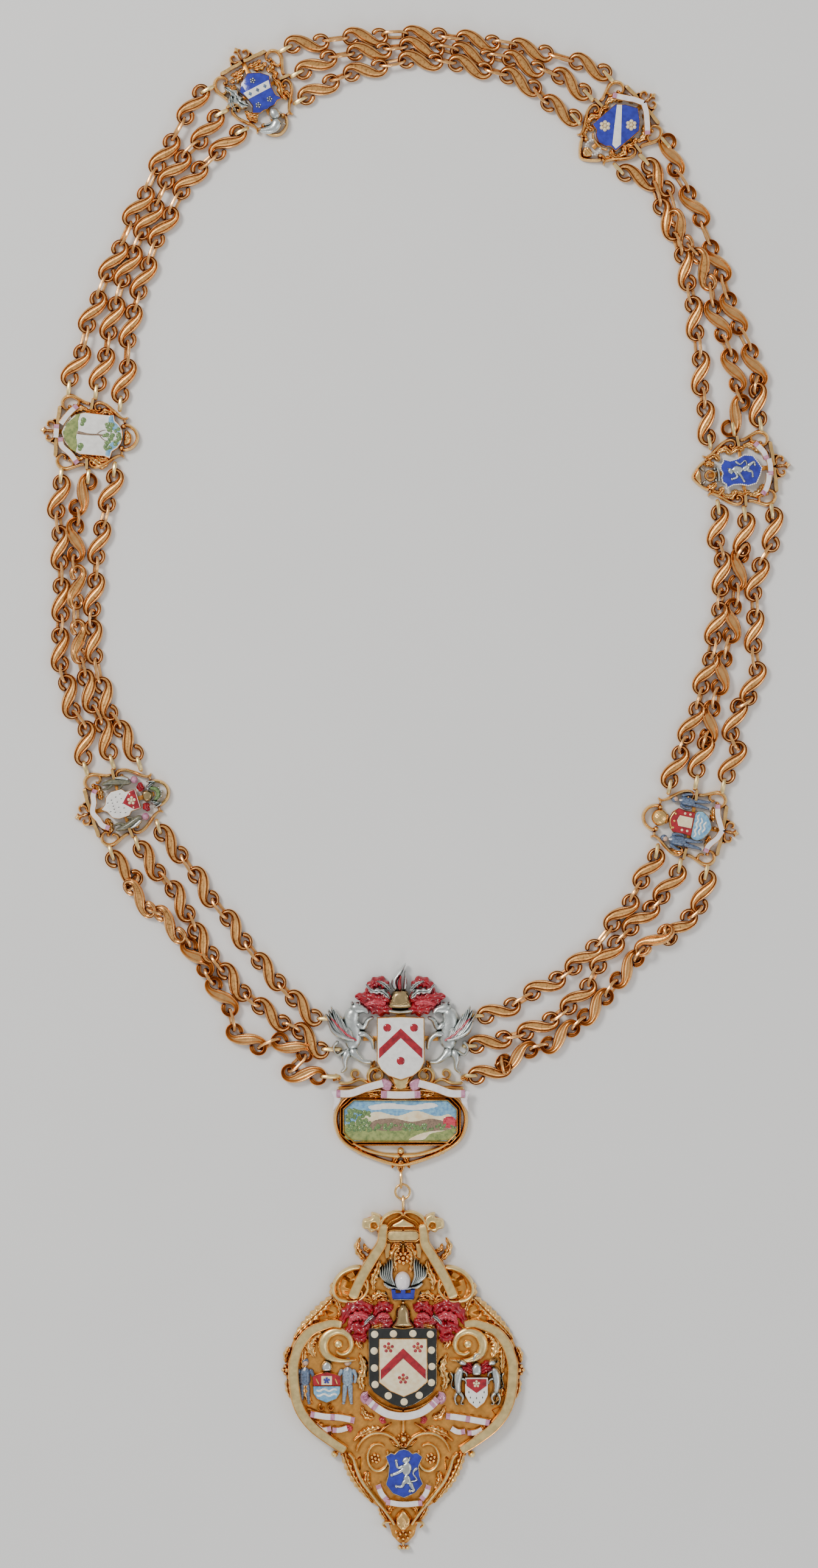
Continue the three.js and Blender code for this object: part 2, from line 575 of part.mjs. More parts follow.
// The ribbon in three folded lengths with hanging tails, over the top of the picture panel.
function centreRibbon() {
  const z0 = 4 + GAP;
  const z1 = z0 + 1.2;
  const arm = [[7.4, 16], [14, 14.2], [21.4, 11.6], [26.6, 11.8]];
  const tail = [[28.8, 12.6], [27.4, 9.2], [27.9, 3.6], [26.6, 5.6], [24.6, 8.4], [24.4, 12]];
  const fold = [[3.6, 16.4], [7.6, 17.8], [8.6, 14.4], [5.4, 12.2], [4, 13]];
  return join(
    band([[-9, 11.6], [8, 11.6]], 3.2, 3.2, z0, z1, 2),
    both((s) => [
      band(shift(flip(arm, s), -0.5, 0), 3.4, 3.6, z0, z1, 4),
      plate(shift(flip(tail, s), -0.5, 0), z0, z0 + 0.8),
      plate(shift(flip(fold, s), -0.5, 0), z0, z0 + 0.8),
    ]),
  );
}

function centrepiece() {
  const shield = [
    [-10.2, 42.8], [9.2, 42.8], [9.2, 24.6], [7.6, 21.8], [4.6, 19], [-0.5, 17.2], [-5.6, 19],
    [-8.6, 21.8], [-10.2, 24.6],
  ];
  const group = new THREE.Group();
  const shieldBase = 4 + GAP;
  const shieldBody = join(
    plate(shield, shieldBase, shieldBase + 1.4),
    plate([[-9.2, 42], [8.2, 42], [8.2, 26], [-9.2, 26]], ENAMEL_BASE, shieldBase + 0.4),
  );
  group.add(mesh("centre_frame", centreFrame(), "frame_gold"));
  group.add(mesh("centre_picture", plate(scaled(PANEL, 0.98), CENTRE_BASE + GAP, 3.6),
    "painted_enamel"));
  group.add(mesh("centre_shield", shieldBody, "white_enamel"));
  group.add(mesh("centre_griffin_left", griffin(-1), "silver"));
  group.add(mesh("centre_griffin_right", griffin(1), "silver"));
  group.add(mesh("centre_crest", centreCrest(), "red_enamel"));
  group.add(mesh("centre_ribbon", centreRibbon(), "ribbon_enamel"));
  group.position.set(CENTRE.x, CENTRE.y, 0);
  return group;
}

// An outline drawn a little smaller about its own middle.
function scaled(points, share) {
  const cx = points.reduce((sum, [x]) => sum + x, 0) / points.length;
  const cy = points.reduce((sum, [, y]) => sum + y, 0) / points.length;
  return points.map(([x, y]) => [cx + (x - cx) * share, cy + (y - cy) * share]);
}

// ---- The jump ring between centrepiece and pendant --------------------------------------------

function jumpRing() {
  const radius = 3;
  const wire = 0.5;
  const ring = solid(new THREE.TorusGeometry(radius, wire, 6, 14));
  const made = mesh("jump_ring", ring, "frame_gold");
  made.position.set((CENTRE.x + PENDANT.x) / 2, CENTRE.y - 28.9, 1.9);
  return made;
}

// ---- The pendant ------------------------------------------------------------------------------

// Half of the outline, from the top of the arch round to the foot, on the right side.
const PENDANT_OUTLINE = [
  [0, 65.6], [3.6, 65.8], [6.6, 64], [8, 61.4], [9.6, 64.2], [13.2, 65], [13.2, 63], [16.6, 62.2],
  [17, 58.6], [14.6, 57.6], [13.4, 56.2], [11, 57.4], [10, 54], [12, 49.8], [15, 46.4],
  [17.8, 49], [18.6, 52.6], [19.6, 50], [16.4, 45.2], [16.6, 43.2], [20.4, 42.4], [25.6, 40.4],
  [28.6, 36.6], [29.8, 30.4], [34.6, 23.6], [40.4, 17.6], [45, 13.4], [47, 8], [48, 3.6],
  [49.4, 2.2], [49.4, -2.2], [47.8, -6], [46.2, -12], [43, -18.2], [37, -24.8], [31.6, -29.2],
  [26.4, -32.4], [28.8, -33.4], [28.2, -36], [25.4, -36.4], [22.6, -43.6], [17.6, -50.4],
  [12.6, -55], [9.6, -57], [6.6, -61.6], [8.6, -63.8], [5.6, -65], [4.8, -68.2], [2, -71.2],
  [0.9, -71.6], [1, -72.4], [1.9, -72.6], [1.9, -73.8], [0, -74.2],
];

// Openings that go right through the pendant, on the right side.
const PENDANT_GAPS = [
  [[17.8, 40.4], [21.4, 40], [24.8, 37.6], [26, 34], [25, 30.6], [23.6, 29.4], [21.6, 33],
    [19.6, 37]],
  [[26.4, 25.4], [28.6, 28.4], [31.6, 24.4], [30.6, 22], [27.4, 21.4]],
  [[36.8, -16.6], [39.6, -15.4], [38.6, -18.8]],
  [[17.6, -36], [19.4, -37.4], [18, -41]],
  [[4.6, -52.2], [7.4, -51.4], [6.2, -53.4]],
  [[14.8, 2.6], [16.4, 5.2], [16.4, 0.4]],
];

function pendantFrame() {
  const outline = [
    ...flip(PENDANT_OUTLINE, -1).slice(1).reverse(),
    ...PENDANT_OUTLINE.slice(0, -1),
  ];
  const strip = (points, w0, w1, pieces, top = PENDANT_BAND) =>
    band(points, w0, w1, PENDANT_PLATE - GAP, top, pieces);
  const ground = cut(
    plate(outline, 0, PENDANT_PLATE),
    both((s) => PENDANT_GAPS.map((gap) => plate(flip(gap, s), -1, PENDANT_PLATE + 1))),
  );
  const plaque = [[-7.6, 55.3], [-5.4, 57.6], [5.4, 57.6], [7.6, 55.3], [5.4, 53], [-5.4, 53]];
  const cap = [
    [-8, 59.6], [-5.4, 63.6], [-1.6, 65], [1.6, 65], [5.4, 63.6], [8, 59.6], [5.2, 59],
    [0, 62.4], [-5.2, 59],
  ];
  const bands = both((s) => {
    const at = (points) => flip(points, s);
    return [
      strip(at([[7.4, 61], [8.4, 56.6], [9, 52], [12.4, 46.4], [16.4, 39.6], [19.4, 33.4],
        [20.6, 30]]), 4.4, 4.6, 6),
      strip(at([[8.6, 60], [11.6, 62], [14.6, 60.4]]), 4, 3.4, 3),
      strip(arc(s * 21, 34.6, 6.9, 6.9, 90 - s * 30, 90 - s * 182, 7), 1.9, 1.9, 7),
      strip(at([[24.8, 18.8], [32.6, 18.6], [40, 14.2], [44.2, 6], [45, -2], [43.8, -12],
        [40.6, -19], [35, -25], [22.8, -33.4]]), 4.2, 4.2, 9),
      strip(at([[27.6, 9.4], [25.2, 11.4], [27.4, 13.6], [31, 12.2], [32, 8.6], [29.6, 6]]),
        1.4, 2.6, 6, PENDANT_BAND - 0.6),
      strip(at([[18.6, -33.8], [20, -38], [18.4, -43.4], [13, -50.6], [7.6, -56.6], [3, -63.6]]),
        2, 1.6, 5),
      strip(arc(s * 10, -36, 5.2, 4.4, 90 - s * 100, 90 + s * 230, 10), 1.5, 1.2, 9, VOLUTE_TOP),
      strip(arc(s * 10, -34.6, 9, 9, 90 - s * 70, 90 + s * 62, 5), 1.6, 1.6, 5, VOLUTE_TOP),
      boss(s * 47.6, 0, 2.6, PENDANT_PLATE - GAP, PENDANT_BAND - 1),
      boss(s * 28, -34.6, 1.9, PENDANT_PLATE - GAP, PENDANT_BAND - 1, 6),
    ];
  });
  return join(
    ground,
    bands,
    plate(cap, PENDANT_PLATE - GAP, PENDANT_BAND),
    plate(plaque, PENDANT_PLATE - GAP, PENDANT_BAND - 0.6),
    plate([[-3.4, -64], [0, -58.6], [3.4, -64], [0, -70.6]], PENDANT_PLATE - GAP, PENDANT_BAND),
    uprightLoop(64.6, 72),
  );
}

// The pendant's enamel and silver pieces: each is a name, a finish and its stack of plates.
function pendantPieces() {
  const z0 = PENDANT_PLATE + GAP;
  const low = (points, top = PENDANT_TOP - 1) => plate(points, z0, top);
  const border = [
    [-14, 17.2], [13.6, 17.2], [13.6, -6], [9.4, -10.4], [4, -13.6], [0, -14.6], [-4, -13.6],
    [-9.4, -10.4], [-14, -6],
  ];
  const field = [[-9.8, 13], [9.6, 13], [9.6, -4.4], [0, -10.4], [-9.8, -4.4]];
  const wing = [[3.4, 33.6], [7.4, 34.6], [9, 38.8], [8.2, 43.6], [5, 47.6], [4.4, 42], [3.6, 38]];
  const crown = [[-4.4, 29], [4.4, 29], [5, 33], [1.6, 33.4], [-1.6, 33.4], [-5, 33]];
  const mantle = [
    [4.6, 20], [9.4, 18.6], [14.4, 18.4], [15.2, 14.2], [18.6, 12.6], [22, 16.6], [22.2, 22.4],
    [20.6, 26.4], [16.4, 27.2], [12.8, 24.8], [8, 28], [4.4, 27],
  ];
  const helmet = [[-4.2, 18], [4.2, 18], [3, 22], [3, 26], [1.4, 28.6], [-1.4, 28.6], [-3, 26],
    [-3, 22]];
  const manOutline = [
    [-2, -9.6], [2.2, -9.6], [2.4, -2], [3, 1], [2.8, 5.2], [1, 6], [1.4, 8.4], [0, 9.6],
    [-1.4, 8.4], [-1, 6], [-2.8, 5.2], [-3, 1], [-2.4, -2],
  ];
  const smallShield = [[-5, 4.4], [5, 4.4], [5, -2.6], [3.4, -5.4], [0, -7], [-3.4, -5.4],
    [-5, -2.6]];
  const beast = [
    [-2, -11], [1.6, -10.6], [2.6, -4], [4, 0], [3, 4.6], [-0.4, 7], [-3.4, 5.6], [-2, 2],
    [-3, -3],
  ];
  const lowShield = [
    [-6.6, -35.4], [-3.6, -34.2], [0, -32.4], [3.6, -34.2], [7.4, -35.4], [5.8, -39],
    [6.4, -43.4], [7.8, -46.4], [4.4, -50], [0, -52], [-4.4, -50], [-7, -46.4], [-6, -43.4],
    [-5.6, -39],
  ];
  const bar = (x0, x1, y) => [[x0, y - 0.8], [x1, y - 0.8], [x1, y + 0.8], [x0, y + 0.8]];
  const ribbonTop = PENDANT_TOP;
  const ribbonBase = PENDANT_BAND + GAP;
  const strip = (points, pieces) => band(points, 3, 3, ribbonBase, ribbonTop, pieces);
  return [
    ["crest", "silver", [
      both((s) => low(flip(wing, s))), low(crown), boss(0, 36.4, 3.4, z0, PENDANT_TOP),
      low(bar(-4.6, 4.6, 34), z0 + 1),
    ]],
    ["helmet", "bronze", [low(helmet, PENDANT_TOP - 0.4)]],
    ["mantling_left", "red_enamel", [low(flip(mantle, -1))]],
    ["mantling_right", "red_enamel", [low(mantle)]],
    ["shield", "black_enamel", [low(border, ribbonBase - GAP), low(field, PENDANT_TOP - 0.6)]],
    ["ribbon", "ribbon_enamel", [
      strip([[-15.4, -11], [-10.4, -15.6], [-4, -18.2], [4, -18.2], [10.4, -15.2], [15, -10.8]], 8),
    ]],
    ["left_arms", "dark_enamel", [
      low(shift(manOutline, -38, -4.4)), low(shift(manOutline, -23.4, -4.6)),
      low(shift(smallShield, -31.8, -5.4)), low(bar(-37, -25, -3), z0 + 1),
    ]],
    ["left_ribbon", "ribbon_enamel", [
      band([[-36, -18.8], [-20.2, -19.8]], 2.8, 2.8, z0, PENDANT_BAND, 2),
      band([[-31.6, -23.4], [-23.4, -24]], 2.6, 2.6, z0, PENDANT_BAND - 0.6, 1),
      band([[-28, -19], [-28, -24]], 2, 2, z0, z0 + 0.8, 1),
    ]],
    ["right_arms", "white_enamel", [
      low(shift(beast, 22.6, -3.2)), low(shift(flip(beast, -1), 37.4, -3.2)),
      low(shift(smallShield, 29.8, -8)), low([[26.8, -4], [32.8, -4], [33, 2], [30, 3.8], [27.6, 2]]),
      low(bar(24, 37, -5), z0 + 1),
    ]],
    ["right_ribbon", "ribbon_enamel", [
      band([[17.4, -18.8], [34.6, -20.4]], 2.8, 2.8, z0, PENDANT_BAND, 2),
      band([[20.4, -24.6], [28.6, -24.8]], 2.6, 2.6, z0, PENDANT_BAND - 0.6, 1),
      band([[25, -20], [25, -25]], 2, 2, z0, z0 + 0.8, 1),
    ]],
    ["low_shield", "blue_enamel", [plate(lowShield, VOLUTE_TOP + GAP, PENDANT_BAND)]],
    ["low_ribbon", "ribbon_enamel", [
      band([[-9.8, -47.6], [-6.6, -53.4], [0, -54], [6.8, -53.6], [10.4, -48]], 2.2, 2.2,
        ribbonBase, ribbonTop, 6),
    ]],
  ];
}

function pendant() {
  const group = new THREE.Group();
  group.add(mesh("pendant_frame", pendantFrame(), "frame_gold"));
  for (const [name, finish, plates] of pendantPieces()) {
    group.add(mesh(`pendant_${name}`, join(plates), finish));
  }
  group.position.set(PENDANT.x, PENDANT.y, 0);
  return group;
}

// ---- The whole chain --------------------------------------------------------------------------

const chainOfOffice = new THREE.Group();
SPANS.forEach((span, i) => {
  LEVELS.forEach((level) => chainOfOffice.add(strand(i + 1, span, level)));
});
Object.keys(BADGES).forEach((name) => chainOfOffice.add(badge(name)));
chainOfOffice.add(centrepiece(), jumpRing(), pendant());

// The origin is the middle of the footprint, on the surface it lies on.
const box = new THREE.Box3().setFromObject(chainOfOffice, true);
const middle = box.getCenter(new THREE.Vector3());
chainOfOffice.position.set(-middle.x, -middle.y, -box.min.z);

export default chainOfOffice;
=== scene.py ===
"""The looks of the chain of office: gold scroll links, six enamelled badges, the centrepiece and the
pendant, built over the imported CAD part. Shapes are written in millimetres."""
import math
import random

import bpy
import numpy as np
from mathutils import Matrix, Vector
from mathutils.geometry import delaunay_2d_cdt


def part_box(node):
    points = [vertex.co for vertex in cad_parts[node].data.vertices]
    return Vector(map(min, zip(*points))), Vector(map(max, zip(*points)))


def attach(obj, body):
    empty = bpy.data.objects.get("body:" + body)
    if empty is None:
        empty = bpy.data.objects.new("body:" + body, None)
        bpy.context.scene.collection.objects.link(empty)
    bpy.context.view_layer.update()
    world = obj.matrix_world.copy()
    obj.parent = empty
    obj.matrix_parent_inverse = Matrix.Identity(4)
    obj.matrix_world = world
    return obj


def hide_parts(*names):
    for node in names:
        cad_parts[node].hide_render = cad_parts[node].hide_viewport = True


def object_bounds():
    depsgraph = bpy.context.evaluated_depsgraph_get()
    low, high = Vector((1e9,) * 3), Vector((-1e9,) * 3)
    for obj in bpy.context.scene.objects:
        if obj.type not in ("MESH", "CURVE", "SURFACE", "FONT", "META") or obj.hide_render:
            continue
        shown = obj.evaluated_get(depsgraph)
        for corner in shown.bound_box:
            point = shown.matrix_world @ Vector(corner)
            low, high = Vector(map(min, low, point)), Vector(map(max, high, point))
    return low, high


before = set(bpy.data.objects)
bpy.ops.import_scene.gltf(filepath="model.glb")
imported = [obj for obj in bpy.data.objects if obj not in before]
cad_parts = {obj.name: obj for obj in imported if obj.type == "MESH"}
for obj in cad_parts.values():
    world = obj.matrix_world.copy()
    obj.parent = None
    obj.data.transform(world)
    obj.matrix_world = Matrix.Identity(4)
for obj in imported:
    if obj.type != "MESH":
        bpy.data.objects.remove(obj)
CAD_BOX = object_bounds()
MM = 0.001

# ---- Where things are, in millimetres ---------------------------------------------------------


def corner(node):
    """The lowest corner of a CAD node."""
    return Vector(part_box(node)[0]) / MM


# The middle of the pendant's main shield and of the centrepiece's picture, from their own nodes.
PENDANT = Matrix.Translation(corner("pendant_shield") + Vector((14, 14.6, -2.3)))
CENTRE = Matrix.Translation(corner("centre_shield") + Vector((10.2, -17.2, -1.7)))
LAYOUT = PENDANT @ Matrix.Translation((5, 238.7, 0))  # the frame that the table below is in

# Each badge: where it lies and which way its crest points, in degrees from +X.
BADGES = {
    "left_low": (-120.8, -6, 17.1),
    "left_middle": (-134.2, 145.9, -5.2),
    "left_high": (-64.8, 287.1, -62.3),
    "right_high": (83.6, 272.8, 220.9),
    "right_middle": (134.4, 130.8, 187.6),
    "right_low": (113.4, -14.6, 168.8),
}


def badge_place(name):
    x, y, turn = BADGES[name]
    turned = Matrix.Rotation(math.radians(turn - 90), 4, "Z")
    return LAYOUT @ Matrix.Translation((x, y, 0)) @ turned


# ---- Materials --------------------------------------------------------------------------------


def shades(tree, low, high, fac):
    """A mix of two colours by a node's output."""
    mix = tree.nodes.new("ShaderNodeMix")
    mix.data_type = "RGBA"
    mix.inputs["A"].default_value = (*low, 1) if isinstance(low, tuple) else (0, 0, 0, 1)
    mix.inputs["B"].default_value = (*high, 1) if isinstance(high, tuple) else (0, 0, 0, 1)
    if not isinstance(low, tuple):
        tree.links.new(low, mix.inputs["A"])
    if not isinstance(high, tuple):
        tree.links.new(high, mix.inputs["B"])
    tree.links.new(fac, mix.inputs["Factor"])
    return mix.outputs["Result"]


def span(tree, value, low, high, start=0.0, end=1.0):
    """A value stretched so that low..high becomes start..end, clamped."""
    node = tree.nodes.new("ShaderNodeMapRange")
    for key, number in (("From Min", low), ("From Max", high), ("To Min", start), ("To Max", end)):
        node.inputs[key].default_value = number
    tree.links.new(value, node.inputs["Value"])
    return node.outputs["Result"]


def coordinates(tree, scale):
    """The object's own coordinates, in units of scale millimetres."""
    place = tree.nodes.new("ShaderNodeTexCoord")
    mapping = tree.nodes.new("ShaderNodeMapping")
    mapping.inputs["Scale"].default_value = (1 / (scale * MM),) * 3
    tree.links.new(place.outputs["Object"], mapping.inputs["Vector"])
    return mapping.outputs["Vector"]


def noise(tree, scale, detail=3.0):
    node = tree.nodes.new("ShaderNodeTexNoise")
    node.inputs["Scale"].default_value = 1.0
    node.inputs["Detail"].default_value = detail
    tree.links.new(coordinates(tree, scale), node.inputs["Vector"])
    return node.outputs["Fac"]


def cells(tree, scale, feature="F1"):
    node = tree.nodes.new("ShaderNodeTexVoronoi")
    node.feature = feature
    node.inputs["Scale"].default_value = 1.0
    tree.links.new(coordinates(tree, scale), node.inputs["Vector"])
    return node.outputs["Distance"]


def new_material(name):
    material = bpy.data.materials.new(name)
    material.use_nodes = True
    tree = material.node_tree
    return material, tree, tree.nodes["Principled BSDF"]


def bumps(tree, shader, *layers):
    """Stacks bump layers: each is a height, its strength and its depth in millimetres."""
    normal = None
    for height, strength, depth in layers:
        bump = tree.nodes.new("ShaderNodeBump")
        bump.inputs["Strength"].default_value = strength
        bump.inputs["Distance"].default_value = depth * MM
        tree.links.new(height, bump.inputs["Height"])
        if normal:
            tree.links.new(normal, bump.inputs["Normal"])
        normal = bump.outputs["Normal"]
    tree.links.new(normal, shader.inputs["Normal"])


def crevice_shade(tree, reach=1.3):
    """A mask for painted shade: 0 in narrow recesses and 1 on open surfaces."""
    hidden = tree.nodes.new("ShaderNodeAmbientOcclusion")
    hidden.samples = 6
    hidden.inputs["Distance"].default_value = reach * MM
    return span(tree, hidden.outputs["AO"], 0.35, 0.95)


def metal(name, bright, recess_shade, roughness, grain=0.5, relief=0.05, chased=None):
    """Cast and polished metal, with painted shade in its recesses; on the silver the dark there also
    stands for its real oxide. chased is the size of engraved scales.
    """
    material, tree, shader = new_material(name)
    cloud = noise(tree, 2.6)
    open_part = crevice_shade(tree)
    tone = shades(tree, tuple(0.78 * c for c in bright), bright, span(tree, cloud, 0.35, 0.65))
    # Painted shade: the colour turns to the second, darker colour where the AO mask finds a recess.
    colour = shades(tree, recess_shade, tone, open_part)
    layers = [(noise(tree, grain, 4), 0.5, relief)]
    if chased:
        scales = cells(tree, chased)
        lines = cells(tree, chased * 0.7, "SMOOTH_F1")
        cut = span(tree, scales, 0.2, 0.75)
        # Painted shade in the sunk borders of the engraved scales.
        colour = shades(tree, colour, recess_shade, span(tree, scales, 0.55, 0.95, 0, 0.75))
        layers.append((cut, -1.0, 0.16))
        layers.append((span(tree, lines, 0.1, 0.6), -0.6, 0.08))
    tree.links.new(colour, shader.inputs["Base Color"])
    shader.inputs["Metallic"].default_value = 1.0
    tree.links.new(span(tree, noise(tree, 1.1), 0.3, 0.7, roughness * 0.8, roughness * 1.25),
                   shader.inputs["Roughness"])
    bumps(tree, shader, *layers)
    return material


def enamel(name, colour, shade, roughness=0.12, patch=2.0):
    """Glassy enamel with a little cloudiness and a faintly uneven surface."""
    material, tree, shader = new_material(name)
    mixed = shades(tree, shade, colour, span(tree, noise(tree, patch, 4), 0.3, 0.62))
    tree.links.new(mixed, shader.inputs["Base Color"])
    tree.links.new(span(tree, noise(tree, 0.8), 0.3, 0.7, roughness * 0.7, roughness * 1.5),
                   shader.inputs["Roughness"])
    shader.inputs["Coat Weight"].default_value = 0.5
    shader.inputs["Coat Roughness"].default_value = 0.06
    bumps(tree, shader, (noise(tree, 1.4), 0.35, 0.05))
    return material


# Each finish: its material, and the slot that it belongs to.
FINISHES = {
    "link": (metal("link_gold", (0.93, 0.5, 0.19), (0.28, 0.075, 0.015), 0.27), "link_gold"),
    "chased": (metal("link_chased_gold", (0.95, 0.5, 0.17), (0.3, 0.09, 0.02), 0.34, chased=0.75),
               "link_gold"),
    "gold": (metal("frame_gold", (1.0, 0.62, 0.23), (0.5, 0.17, 0.03), 0.26), "frame_gold"),
    # A lighter copy of the frame gold: a painted highlight on the parts that catch the light.
    "bright": (metal("bright_gold", (1.0, 0.76, 0.35), (0.78, 0.36, 0.09), 0.34, 0.25, 0.02),
               "frame_gold"),
    # A darker copy of the frame gold: painted shade on the backings and grounds that lie low.
    "recess_shade": (metal("painted_shade_gold", (0.9, 0.42, 0.1), (0.34, 0.09, 0.012), 0.34, 0.4, 0.08),
             "frame_gold"),
    "silver": (metal("silver", (0.72, 0.76, 0.74), (0.06, 0.08, 0.08), 0.3, 0.35, 0.08), "silver"),
    "bronze": (metal("bronze", (0.55, 0.4, 0.2), (0.1, 0.05, 0.02), 0.25), "bronze"),
    "blue": (enamel("blue_enamel", (0.022, 0.035, 0.42), (0.012, 0.015, 0.25)), "blue_enamel"),
    "white": (enamel("white_enamel", (0.9, 0.89, 0.85), (0.78, 0.76, 0.72)), "white_enamel"),
    "red": (enamel("red_enamel", (0.42, 0.008, 0.02), (0.19, 0.003, 0.012)), "red_enamel"),
    "black": (enamel("black_enamel", (0.012, 0.014, 0.013), (0.004, 0.005, 0.004)),
              "black_enamel"),
    "slate": (enamel("slate_enamel", (0.13, 0.19, 0.31), (0.05, 0.07, 0.12), 0.3, 0.8),
              "dark_enamel"),
    "ribbon": (enamel("ribbon_enamel", (0.9, 0.87, 0.86), (0.8, 0.72, 0.74)), "ribbon_enamel"),
    "mauve": (enamel("mauve_enamel", (0.62, 0.3, 0.42), (0.4, 0.13, 0.24), patch=1.2),
              "ribbon_enamel"),
    "cream": (enamel("cream_enamel", (0.9, 0.8, 0.56), (0.8, 0.62, 0.36)), "white_enamel"),
    "pink": (enamel("pink_enamel", (0.66, 0.07, 0.1), (0.34, 0.01, 0.025), patch=1.0),
             "red_enamel"),
    "skin": (enamel("skin_enamel", (0.62, 0.4, 0.28), (0.5, 0.28, 0.18), 0.3), "dark_enamel"),
    "olive": (enamel("olive_enamel", (0.2, 0.19, 0.12), (0.08, 0.08, 0.06), 0.3, 1.0),
              "white_enamel"),
    "green": (enamel("green_enamel", (0.2, 0.3, 0.1), (0.06, 0.13, 0.05), 0.2, 0.9),
              "painted_enamel"),
    "grass": (enamel("grass_enamel", (0.33, 0.38, 0.12), (0.14, 0.2, 0.06), 0.2, 1.4),
              "painted_enamel"),
    "sky": (enamel("sky_enamel", (0.24, 0.5, 0.68), (0.08, 0.24, 0.5), 0.15, 1.6),
            "painted_enamel"),
    "mist": (enamel("mist_enamel", (0.3, 0.4, 0.5), (0.12, 0.18, 0.26), 0.3, 0.8), "dark_enamel"),
    "trunk": (enamel("trunk_enamel", (0.3, 0.2, 0.13), (0.15, 0.1, 0.07), 0.3, 0.6),
              "painted_enamel"),
}

# ---- Shapes -----------------------------------------------------------------------------------
# Each returns (points, faces), with the points in millimetres.


def along(values, count):
    """One number for each of count places, from one number or a few spread evenly."""
    given = np.atleast_1d(values).astype(float)
    return np.interp(np.linspace(0, 1, count), np.linspace(0, 1, len(given)), given)


def even(points, step, closed=False):
    """The same line with points at even steps."""
    p = np.array(points, float)
    if closed:
        p = np.vstack([p, p[:1]])
    far = np.concatenate([[0], np.cumsum(np.linalg.norm(np.diff(p, axis=0), axis=1))])
    count = max(3 if closed else 1, round(far[-1] / step))
    at = np.linspace(0, far[-1], count + 1)
    line = np.stack([np.interp(at, far, p[:, k]) for k in range(p.shape[1])], 1)
    return line[:-1] if closed else line


def spline(points, step=0.5, closed=False):
    """Even points along a smooth curve through the given ones."""
    p = np.array(points, float)
    ends = (p[-1:], p[:2]) if closed else (2 * p[:1] - p[1:2], 2 * p[-1:] - p[-2:-1])
    p = np.vstack([ends[0], p, ends[1]])
    t = np.linspace(0, 1, 12, endpoint=False)[:, None]
    pieces = [
        0.5 * (2 * b + (c - a) * t + (2 * a - 5 * b + 4 * c - d) * t**2
               + (3 * b - a - 3 * c + d) * t**3)
        for a, b, c, d in zip(p, p[1:], p[2:], p[3:])
    ]
    dense = np.vstack(pieces + ([] if closed else [p[-2:-1]]))
    return even(dense, step, closed)


def arc(cx, cy, r, a0, a1, step=0.5, r1=None):
    """Points on an arc or spiral, with its angles in degrees."""
    r1 = r if r1 is None else r1
    count = max(4, round(abs(math.radians(a1 - a0)) * max(r, r1) / step))
    turn = np.radians(np.linspace(a0, a1, count + 1))
    reach = np.linspace(r, r1, count + 1)
    return np.stack([cx + reach * np.cos(turn), cy + reach * np.sin(turn)], 1)


HALF_ROUND = [(-1, 0), (-0.93, 0.4), (-0.72, 0.72), (-0.38, 0.93), (0, 1), (0.38, 0.93),
              (0.72, 0.72), (0.93, 0.4), (1, 0)]
FLAT = [(-1, 0), (-1, 0.86), (-0.9, 1), (0.9, 1), (1, 0.86), (1, 0)]


def sweep(path, width, height, z0=0.0, section=HALF_ROUND, closed=False, rounded=True):
    """A strip along a line, of any width, height and section along its length."""
    path = np.array(path, float)
    count = len(path)
    tangent = np.roll(path, -1, 0) - np.roll(path, 1, 0)
    if not closed:
        tangent[0], tangent[-1] = path[1] - path[0], path[-1] - path[-2]
    tangent = tangent[:, :2] / np.maximum(np.linalg.norm(tangent[:, :2], axis=1), 1e-9)[:, None]
    side = np.stack([-tangent[:, 1], tangent[:, 0]], 1)
    half, tall = along(width, count) / 2, along(height, count)
    if rounded and not closed:
        far = np.concatenate([[0], np.cumsum(np.linalg.norm(np.diff(path, axis=0), axis=1))])
        for from_end, tip in ((far, half[0]), (far[-1] - far, half[-1])):
            q = np.clip(from_end / max(tip, 1e-6), 0.04, 1)
            full = np.sqrt(1 - (1 - q) ** 2)
            half, tall = half * full, tall * (0.45 + 0.55 * full)
    base = along(z0, count) + (path[:, 2] if path.shape[1] > 2 else 0)
    points = [
        (path[i, 0] + side[i, 0] * u * half[i], path[i, 1] + side[i, 1] * u * half[i],
         base[i] + v * tall[i])
        for i in range(count) for u, v in section
    ]
    n = len(section)
    faces = []
    for i in range(count if closed else count - 1):
        a, b = i * n, ((i + 1) % count) * n
        faces += [(a + k, a + (k + 1) % n, b + (k + 1) % n, b + k) for k in range(n)]
    if not closed:
        faces += [tuple(reversed(range(n))), tuple((count - 1) * n + k for k in range(n))]
    return points, faces


def tube(path, radius, sides=8, closed=False):
    """A round wire along a line in space."""
    path = [Vector(p) for p in path]
    count = len(path)
    wires = along(radius, count)
    points = []
    across = None
    for i, p in enumerate(path):
        if closed:
            ahead = path[(i + 1) % count] - path[i - 1]
        else:
            ahead = path[min(i + 1, count - 1)] - path[max(i - 1, 0)]
        ahead.normalize()
        if across is None:
            across = ahead.orthogonal()
        across = (across - ahead * across.dot(ahead)).normalized()
        other = ahead.cross(across)
        for k in range(sides):
            turn = 2 * math.pi * k / sides
            points.append(tuple(p + (across * math.cos(turn) + other * math.sin(turn)) * wires[i]))
    faces = []
    for i in range(count if closed else count - 1):
        a, b = i * sides, ((i + 1) % count) * sides
        faces += [(a + k, a + (k + 1) % sides, b + (k + 1) % sides, b + k) for k in range(sides)]
    if not closed:
        faces += [tuple(reversed(range(sides))),
                  tuple((count - 1) * sides + k for k in range(sides))]
    return points, faces


